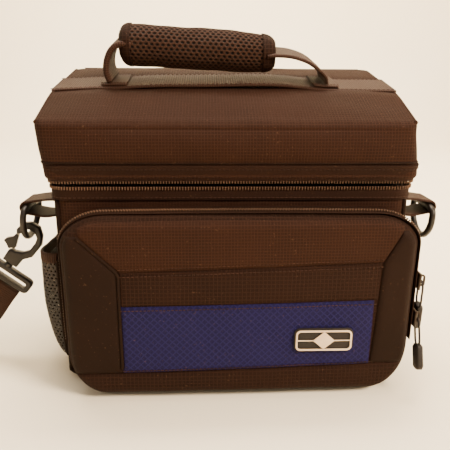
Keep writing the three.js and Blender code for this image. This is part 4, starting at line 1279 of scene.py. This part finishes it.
def teeth(name, path, out, body, long=2.2 * MM, shift=0.0):
    """A row of bars across a path. out gives each bar's outward way, and its long side lies across
    the path. Every bar is a six-sided prism with a pinched waist."""
    pitch, wide, tall = 1.9 * MM, 0.85 * MM, 1.6 * MM
    run = lengths(path)
    at = np.arange(0.5 + shift, run[-1] / pitch) * pitch
    out = np.broadcast_to(np.asarray(out, float), path.shape)
    spot, way = (np.stack([np.interp(at, run, v[:, k]) for k in range(3)], 1) for v in (path, out))
    tangent = unit(np.stack([np.interp(at, run, np.gradient(path[:, k])) for k in range(3)], 1))
    way = unit(way - tangent * (way * tangent).sum(1, keepdims=True))
    across = np.cross(tangent, way)
    six = np.radians(np.arange(6) * 60 + 30)
    ends = np.array([-0.5, -0.36, 0.0, 0.36, 0.5])
    fat = np.array([0.55, 1.0, 0.8, 1.0, 0.55])
    waist_x, waist_y = fat[:, None] * np.cos(six) * wide / 2, fat[:, None] * np.sin(six) * tall / 2
    local = np.stack(np.broadcast_arrays(ends[:, None] * long, waist_x, waist_y), 2).reshape(-1, 3)
    axes = np.stack([across, tangent, way], 1)
    points = spot[:, None] + np.einsum("pk,nkc->npc", local, axes)
    body_faces = grid_faces(5, 6, True)
    cap = np.array([[0, 1, 2, 3], [0, 3, 4, 5]])
    one = np.concatenate([body_faces, cap[:, ::-1], cap + 24])
    faces = (one[None] + 30 * np.arange(len(at))[:, None, None]).reshape(-1, 4)
    piece = new_mesh(name, points.reshape(-1, 3), faces)
    return dress(piece, body, COIL, "zip")


def tape(name, path, across, low, high, body, node):
    """A flat band beside a path, from low to high along across."""
    middle = path + np.asarray(across, float) * (low + high) / 2
    piece = sweep(name, middle, across, ribbon(high - low, 0.7 * MM, 5))
    return dress(piece, body, TAPE, "zip", node)


ZIP_BACK = body_y - 13 * MM


def zip_path(half_x, half_y, radius, z):
    """The zip's run: up the left side from the back, across the front, and along the right side."""
    loop = rectangle_path(half_x, half_y, radius, z, 1 * MM)
    start_at = np.argmax((loop[:, 1] > ZIP_BACK) & (loop[:, 0] < 0))
    loop = np.roll(loop, -start_at, axis=0)
    return loop[loop[:, 1] < ZIP_BACK]


def outward(path, half_x, half_y, radius):
    """The way a rounded rectangle faces at points of its path."""
    core = np.clip(path[:, :2], (radius - half_x, radius - half_y), (half_x - radius, half_y - radius))
    return np.concatenate([unit(path[:, :2] - core), 0 * path[:, :1]], 1)


rim = zip_path(body_x + 0.9 * MM, body_y + 0.9 * MM, BODY_CORNER, body_top)
rim_out = outward(rim, body_x, body_y, BODY_CORNER)
tape("rim_tape", rim, (0, 0, 1), -8.4 * MM, 1 * MM, "main", "rim_zip")
rim_teeth = rim + rim_out * 0.9 * MM - (0, 0, 0.1 * MM)
teeth("rim_teeth", rim_teeth, rim_out, "main")
stitches("rim_stitches", rim + rim_out * 0.5 * MM - (0, 0, 6.6 * MM), rim_out, "main", "zip", 3 * MM)
SKIRT_TAPER = 3 * MM
lid_edge = (lid_x - SKIRT_TAPER, lid_y - SKIRT_TAPER, LID_CORNER - SKIRT_TAPER)
low_x, low_y = lid_edge[0] + 0.5 * MM, lid_edge[1] + 0.5 * MM
low_run = zip_path(low_x, low_y, LID_CORNER, lid_bottom - 0.6 * MM)
low_out = outward(low_run, *lid_edge)
skirt = lid_seam - lid_bottom
up_skirt = unit(low_out * (SKIRT_TAPER / skirt) + (0, 0, 1))
band_middle = low_run + low_out * 0.9 * MM + up_skirt * (skirt / 2)
lid_tape = sweep("lid_tape", band_middle, up_skirt, ribbon(skirt - 0.2 * MM, 0.7 * MM, 5))
dress(lid_tape, "lid", TAPE, "zip", "lid_zip")
teeth("lid_teeth", low_run + low_out * 0.7 * MM - (0, 0, 0.4 * MM), low_out, "lid")
for name, rise in (("low", 3.4 * MM), ("high", 8.6 * MM)):
    row = low_run + low_out * 1.35 * MM + up_skirt * rise
    stitches("lid_tape_stitches_" + name, row, low_out, "lid", "zip", 3 * MM)


# The pocket's zip runs over the top of its outline, from its left end to its right.
loop = pocket_outline(0.7 * MM, step=1 * MM)[::-1]
loop = loop[loop[:, 1] > pocket_bottom + 38 * MM]
loop = loop[np.argsort(np.arctan2(loop[:, 0] - POCKET_CENTRE, loop[:, 1] - middle_z))]
arch = np.insert(loop, 1, pocket_split, axis=1)
arch_out = unit((arch - (POCKET_CENTRE, pocket_split, middle_z)) * (1 / pocket_half, 0, 1 / (62 * MM)))
tape("pocket_tape_outer", arch, (0, 1, 0), 0.4 * MM, 9.6 * MM, "main", "pocket_zip_outer")
tape("pocket_tape_inner", arch, (0, 1, 0), -5 * MM, -0.4 * MM, "pocket_flap", "pocket_zip_inner")
coil = arch + arch_out * 1.0 * MM
teeth("pocket_teeth_outer", coil + (0, 0.9 * MM, 0), arch_out, "main", 2.0 * MM)
teeth("pocket_teeth_inner", coil - (0, 0.9 * MM, 0), arch_out, "pocket_flap", 2.0 * MM, 0.5)
print("zip run in mm:", round(lengths(rim)[-1] / MM), round(lengths(arch)[-1] / MM))

# %% [markdown]
# ## Hinge cloth
# At the back the lid and the body are joined by a strip of cloth, made here as one fixed slab.

# %% Hinge
strip_low, strip_high = corners("hinge_strip")
strip_x = np.linspace(strip_low[0], strip_high[0], 70)
strip_z = np.linspace(strip_low[2] + 2 * MM, lid_bottom + 7 * MM, 30)
sx_grid, sz_grid = np.meshgrid(strip_x, strip_z)
bulge = 1.2 * MM * np.exp(-(((sz_grid - body_top - 2 * MM) / (5 * MM)) ** 2))
sy_grid = body_y + 2.6 * MM + bulge + 0.3 * MM * wrinkle(sx_grid, sz_grid, 50 * MM)
near = np.stack([sx_grid, sy_grid, sz_grid], 2)
hinge_cloth = slab("hinge_cloth", near, near + (0, -0.8 * MM, 0))
hinge_cloth.data.materials.append(PLAIN)
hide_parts("hinge_strip")
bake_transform(hinge_cloth)
print("hinge cloth, width in mm:", round((strip_high[0] - strip_low[0]) / MM))

# %% [markdown]
# ## Side pockets
# Each side has an open pouch of net, gathered into a bound hem at its mouth.

# %% Net pockets


def pouch(side, sign):
    """A net sheet that stands off the wall: its reach from the wall is full at the mouth and falls
    to nothing round its sewn edges, reach * (1 - s^6)^0.5 across and (1.8 t)^0.28 up."""
    low, high = corners("mesh_pocket_" + side)
    low_z = low[2] + 1 * MM
    middle, half = (low[1] + high[1]) / 2, (high[1] - low[1]) / 2 - 1 * MM
    s = np.linspace(-1, 1, 60)[None]
    t = np.linspace(0, 1, 44)[:, None]
    corner = 1 - 0.16 * (1 - t) ** 5
    py = middle + half * s * corner + 0 * t
    mouth = high[2] - 3 * MM - 6 * MM * (1 - s**2) * 0.35
    pz = low_z + (mouth - low_z) * t
    full = 17.5 * MM * np.sqrt(np.clip(1 - s**6, 0, 1)) * np.clip(t * 1.8, 0, 1) ** 0.28
    full = full - 3.5 * MM * np.exp(-(1 - t) / 0.07) * (1 - s**2)
    full = full + 0.7 * MM * wrinkle(py, pz, 34 * MM, 0.4 + sign) * (1 - s**2) * t
    px = sign * (body_x + 1.2 * MM + full)
    front = np.stack(np.broadcast_arrays(px, py, pz), 2)
    sheet = slab("net_" + side, front, front - (sign * 0.5 * MM, 0, 0))
    dress(sheet, "main", NET, "mesh", "mesh_pocket_" + side)
    hem = sweep("net_hem_" + side, front[-1], (0, 0, 1), ribbon(8 * MM, 2.0 * MM, 7))
    dress(hem, "main", WEBBING, "webbing")
    border = np.concatenate([front[::-1, 0], front[0, 1:-1], front[:, -1]])
    binding = smooth(border[::3], 3 * MM) + (sign * 0.4 * MM, 0, 0)
    piping("net_binding_" + side, binding, 1.3 * MM, "main")
    print("net pocket", side, "- binding in mm:", round(lengths(binding)[-1] / MM))


for side, sign in SIDES:
    pouch(side, sign)

# %% [markdown]
# ## Webbing and handle
# A band of webbing is sewn across the roof. It lifts in the middle, where the handle's feet hold
# it. The grip is foam in spacer mesh: rows of small oval dimples, staggered, with bound ends.

# %% Lid webbing
roof_up = np.array([0, -math.sin(roof_slope), math.cos(roof_slope)])
roof_along = np.array([0, math.cos(roof_slope), math.sin(roof_slope)])
webbing_foot = np.array([0, WEBBING_Y, float(roof(np.array(WEBBING_Y)))])


def over_roof(px, rise):
    """Points above the roof's upper slope, on the handle's line."""
    return webbing_foot + np.asarray(px)[:, None] * (1, 0, 0) + np.asarray(rise)[:, None] * roof_up


band_x = np.linspace(-lid_x + 0.5 * MM, lid_x - 0.5 * MM, 120)


def band_lift(px):
    """Height of the webbing over the roof: 2.6 mm * exp(-((x + 4) / 62)^6) where the handle holds it
    up, and a little at both sides."""
    held = 2.6 * MM * np.exp(-(((px + 4 * MM) / (62 * MM)) ** 6)) + 1.2 * MM * (1 - (px / lid_x) ** 4)
    return held + 0.5 * MM * np.sin(px / (19 * MM)) - 0.4 * MM


lift = band_lift(band_x)
band_line = over_roof(band_x + LEAN_LEFT, lift)
band = sweep("lid_webbing_band", band_line, roof_along, ribbon(38 * MM, 1.8 * MM, 17))
dress(band, "lid", WEBBING, "webbing", "lid_webbing")
for edge, shift in (("front", -16.6 * MM), ("back", 16.6 * MM)):
    row = over_roof(band_x[::2] + LEAN_LEFT, lift[::2] + 0.9 * MM) + roof_along * shift
    stitches("webbing_stitches_" + edge, row, roof_up, "lid", "webbing", 3.4 * MM)
print("webbing across the lid, in mm:", round(lengths(band_line)[-1] / MM))

# %% Handle grip
GRIP_START, GRIP_END = -79 * MM, 32 * MM
GRIP_X, GRIP_Z = 17 * MM, 14.5 * MM


def grip_line(px):
    """Height of the grip's middle over the roof: 24.5 mm - 0.055 x, so it slopes to the right."""
    return 24.5 * MM - 0.055 * px


def grip_size(px):
    """Share of the grip's full section: rounded off at the left, tapered at the right."""
    left = np.clip((px - GRIP_START) / (11 * MM), 0, 1)
    right = np.clip((GRIP_END - px) / (34 * MM), 0, 1)
    return (0.60 + 0.40 * np.sqrt(1 - (1 - left) ** 2)) * (0.62 + 0.38 * np.sqrt(1 - (1 - right) ** 2))


DIMPLE_ROWS, DIMPLE_PITCH = 34, 3.9 * MM


def dimple(angle, px):
    """Depth of the staggered oval dimples, from 0 to 1: t = 1.25 - u^2 - v^2 inside each oval, eased
    as t^2 (3 - 2t)."""
    cell_u = (angle % (2 * math.pi)) / (2 * math.pi) * DIMPLE_ROWS
    cell_v = (px - GRIP_START) / DIMPLE_PITCH + 0.5 * (np.floor(cell_u) % 2)
    off_u, off_v = (cell_u % 1 - 0.5) / 0.40, (cell_v % 1 - 0.5) / 0.36
    t = np.clip(1.25 - (off_u**2 + off_v**2), 0, 1)
    return t * t * (3 - 2 * t)


def round_grip(px, angle, reach_y, reach_z):
    """Rows of points round the grip's line, at each x, closed at both ends."""
    line = over_roof(px, grip_line(px))
    across = (reach_y * np.cos(angle))[..., None] * roof_along
    rows = line[:, None] + across + (reach_z * np.sin(angle))[..., None] * roof_up
    return close_ends(rows, line)


grip_x = np.linspace(GRIP_START + 5 * MM, GRIP_END - 6 * MM, 310)
angle = np.linspace(0, 2 * math.pi, 238, endpoint=False)[None]
dimple_depth_and_shade = dimple(angle, grip_x[:, None])
soft = 1 + 0.035 * wrinkle(grip_x[:, None] + 0 * dimple_depth_and_shade, angle * 15 * MM, 46 * MM, 0.6)
full = grip_size(grip_x)[:, None] * soft
grid = round_grip(grip_x, angle, GRIP_X * full - 0.8 * MM * dimple_depth_and_shade, GRIP_Z * full - 0.8 * MM * dimple_depth_and_shade)
grip = closed_grid("handle_pad", grid)
print("grip:", len(grip.data.polygons), "faces,", round(float(dimple_depth_and_shade.mean()), 2), "of it dimples")
dress(grip, "handle", SPACER, "mesh", "handle_grip", fill=0.8)

# %% [markdown]
# The dimples are painted dark inside, as painted shade. Each point's depth is worked out again from
# its place on the finished mesh, and kept as the attribute that the material reads to paint that shade.

# %% Dimple attribute
where = np.empty(len(grip.data.vertices) * 3, np.float32)
grip.data.vertices.foreach_get("co", where)
where = where.reshape(-1, 3)
local_y, local_z = (where - webbing_foot) @ roof_along, (where - webbing_foot) @ roof_up
point_angle = np.arctan2((local_z - grip_line(where[:, 0])) / GRIP_Z, local_y / GRIP_X)
attribute = grip.data.attributes.new("dimple_depth_and_shade", "FLOAT", "POINT")
attribute.data.foreach_set("value", dimple(point_angle, where[:, 0]).astype(np.float32))


def cuff(name, x0, x1, grow0, grow1):
    """A cloth binding round one end of the grip, rolled over at both edges."""
    t = np.concatenate([[0, 0], np.linspace(0, 1, 18), [1, 1]])
    px = x0 + (x1 - x0) * t
    puff = 0.5 * np.sin(math.pi * np.linspace(0, 1, 18))
    turned = np.array([-2.4, -0.6, *puff, -0.6, -2.4]) * MM
    angle = np.linspace(0, 2 * math.pi, 72, endpoint=False)[None]
    grow = (grow0 + (grow1 - grow0) * t + turned)[:, None]
    size = grip_size(px)[:, None]
    gather = 0.3 * MM * np.sin(9 * angle) * (1 - t[:, None])
    grid = round_grip(px, angle, GRIP_X * size + grow, GRIP_Z * size + grow + gather)
    return dress(closed_grid(name, grid), "handle", RIPSTOP, "mesh")


cuff("cuff_left", GRIP_START - 0.5 * MM, GRIP_START + 8 * MM, 0.4 * MM, 0.8 * MM)
cuff("cuff_right", GRIP_END - 9 * MM, GRIP_END + 0.5 * MM, 0.8 * MM, 0.5 * MM)

# %% Handle legs


def leg(name, points, node, width, thick):
    """Webbing from the grip to the roof, through points given as x and height above the roof. It is one
    fixed piece, carried by neither the lid nor the handle."""
    flat = smooth(np.array(points) * MM, 1.5 * MM)
    line = over_roof(flat[:, 0], flat[:, 1])
    piece = sweep(name, line, roof_along, ribbon(width * MM, thick * MM, 13))
    piece.data.materials.append(WEBBING)
    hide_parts(node)
    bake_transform(piece)


LEFT_LEG = [(-70, 31), (-78, 31), (-84, 27.5), (-88, 20), (-89, 12), (-87, 5)]
leg("webbing_leg_left", LEFT_LEG, "handle_leg_left", 34, 4.2)
RIGHT_LEG = [(26, 23.5), (33, 24), (44, 23.2), (56, 19.4), (65, 13.2), (69.5, 8.8), (70.5, 4.6)]
leg("webbing_leg_right", RIGHT_LEG, "handle_leg_right", 34, 2.4)
for name, px in (("left", -84 * MM), ("right", 70 * MM)):
    box_x = np.linspace(px - 9 * MM, px + 9 * MM, 12)
    rise = band_lift(box_x) + 2.1 * MM
    foot = sweep("leg_foot_" + name, over_roof(box_x, rise), roof_along, ribbon(33 * MM, 1.8 * MM, 9))
    dress(foot, "lid", WEBBING, "webbing")
    row = over_roof(box_x, rise + 0.95 * MM)
    for k, shift in enumerate((-13 * MM, 13 * MM)):
        seam_row = row + roof_along * shift
        stitches(f"foot_stitches_{name}_{k}", seam_row, roof_up, "lid", "webbing", 2.2 * MM)

# %% [markdown]
# ## Tabs
# A short loop of webbing leaves the rim on each side, goes round its ring's bar, and is sewn down.

# %% Ring tabs
TAB_Y = -20 * MM
BAR_X, BAR_Z, BAR_REACH = 149 * MM, 123 * MM, 4.3 * MM
UPPER = [(122.5, 128.5), (128, 129.2), (136, 129), (143.5, 128)]
LOWER = [(144, 117.9), (136, 116.6), (128, 117.6), (122.5, 119)]
around = np.radians(np.linspace(100, -100, 16))
bow = np.stack([BAR_X + BAR_REACH * np.cos(around), BAR_Z + BAR_REACH * np.sin(around)], 1)
loop = smooth(np.concatenate([np.array(UPPER) * MM, bow, np.array(LOWER) * MM]), 1.2 * MM)
for side, sign in SIDES:
    line = np.stack([sign * loop[:, 0], 0 * loop[:, 0] + TAB_Y, loop[:, 1]], 1)
    piece = sweep("webbing_tab_" + side, line, (0, 1, 0), ribbon(25 * MM, 1.8 * MM, 11))
    dress(piece, "main", WEBBING, "webbing", "tab_" + side)
    seam_x = np.full(14, sign * 130 * MM)
    seam_y = np.linspace(TAB_Y - 11 * MM, TAB_Y + 11 * MM, 14)
    row = np.stack([seam_x, seam_y, 0 * seam_x + 130.3 * MM], 1)
    stitches("tab_stitches_" + side, row, (0, 0, 1), "main", "webbing", 2 * MM)
print("webbing in each tab, in mm:", round(lengths(loop)[-1] / MM))

# %% [markdown]
# ## Floor and light
# The bag stands on a plain pale sheet that curves up behind it. One large warm light stands high in
# front on the right, a weaker one fills from the left, and a wide one overhead softens the shadows.
# A fourth lights the upright part of the sheet.

# %% Stage
SHEET_HALF, SHEET_HIGH = 4.5, 3.2
BEND_FROM, BEND_RADIUS = 1.2, 0.5
floor_run = np.linspace(-SHEET_HALF, BEND_FROM, 50)
bend = np.linspace(0, math.pi / 2, 16)[1:]
rise = np.linspace(BEND_RADIUS, SHEET_HIGH, 12)[1:]
bend_y, bend_z = BEND_FROM + BEND_RADIUS * np.sin(bend), BEND_RADIUS * (1 - np.cos(bend))
profile_y = np.concatenate([floor_run, bend_y, 0 * rise + BEND_FROM + BEND_RADIUS])
profile_z = np.concatenate([0 * floor_run, bend_z, rise])
across = np.linspace(-SHEET_HALF, SHEET_HALF, 24)
sheet = np.stack(np.broadcast_arrays(across[None], profile_y[:, None], profile_z[:, None]), 2)
sheet = sheet - (0, 0, 0.2 * MM)
backdrop = new_mesh("backdrop", sheet.reshape(-1, 3), grid_faces(*sheet.shape[:2]))
material, g, shader, place = start("pale_sheet", 0.9)
g.feed(shader["Base Color"], g.mix(g.noise(place, 3.0), shade(253, 238, 208), shade(255, 245, 222)))
backdrop.data.materials.append(material)
print("sheet:", 2 * SHEET_HALF, "m wide,", SHEET_HIGH, "m high")


# %% Lights
def area_light(name, where, aim, size, power, colour):
    """A square area light that faces a point."""
    data = bpy.data.lights.new(name, "AREA")
    data.shape, data.size, data.energy, data.color = "SQUARE", size, power, colour
    light = bpy.data.objects.new(name, data)
    bpy.context.scene.collection.objects.link(light)
    back = unit(np.array(where) - np.array(aim))
    side = unit(np.cross((0, 0, 1), back))
    turn = np.eye(4)
    turn[:3, 0], turn[:3, 1], turn[:3, 2], turn[:3, 3] = side, np.cross(back, side), back, where
    light.matrix_world = Matrix(turn.tolist())


area_light("key", (1.05, -0.85, 1.05), (0, 0, 0.1), 0.42, 62, (1.0, 0.82, 0.62))
area_light("fill", (-1.2, -0.9, 0.7), (0, 0, 0.1), 1.2, 5, (1.0, 0.84, 0.66))
area_light("overhead", (0.1, 0.2, 1.6), (0, 0.02, 0.1), 1.0, 24, (1.0, 0.84, 0.66))
area_light("wall_wash", (0, 0.5, 1.5), (0, 1.7, 0.5), 1.2, 90, (1.0, 0.88, 0.7))
world = bpy.data.worlds.new("room")
world.use_nodes = True
world.node_tree.nodes["Background"].inputs[0].default_value = (1.0, 0.86, 0.7, 1)
world.node_tree.nodes["Background"].inputs[1].default_value = 0.5
bpy.context.scene.world = world
print(len(bpy.data.lights), "lights")
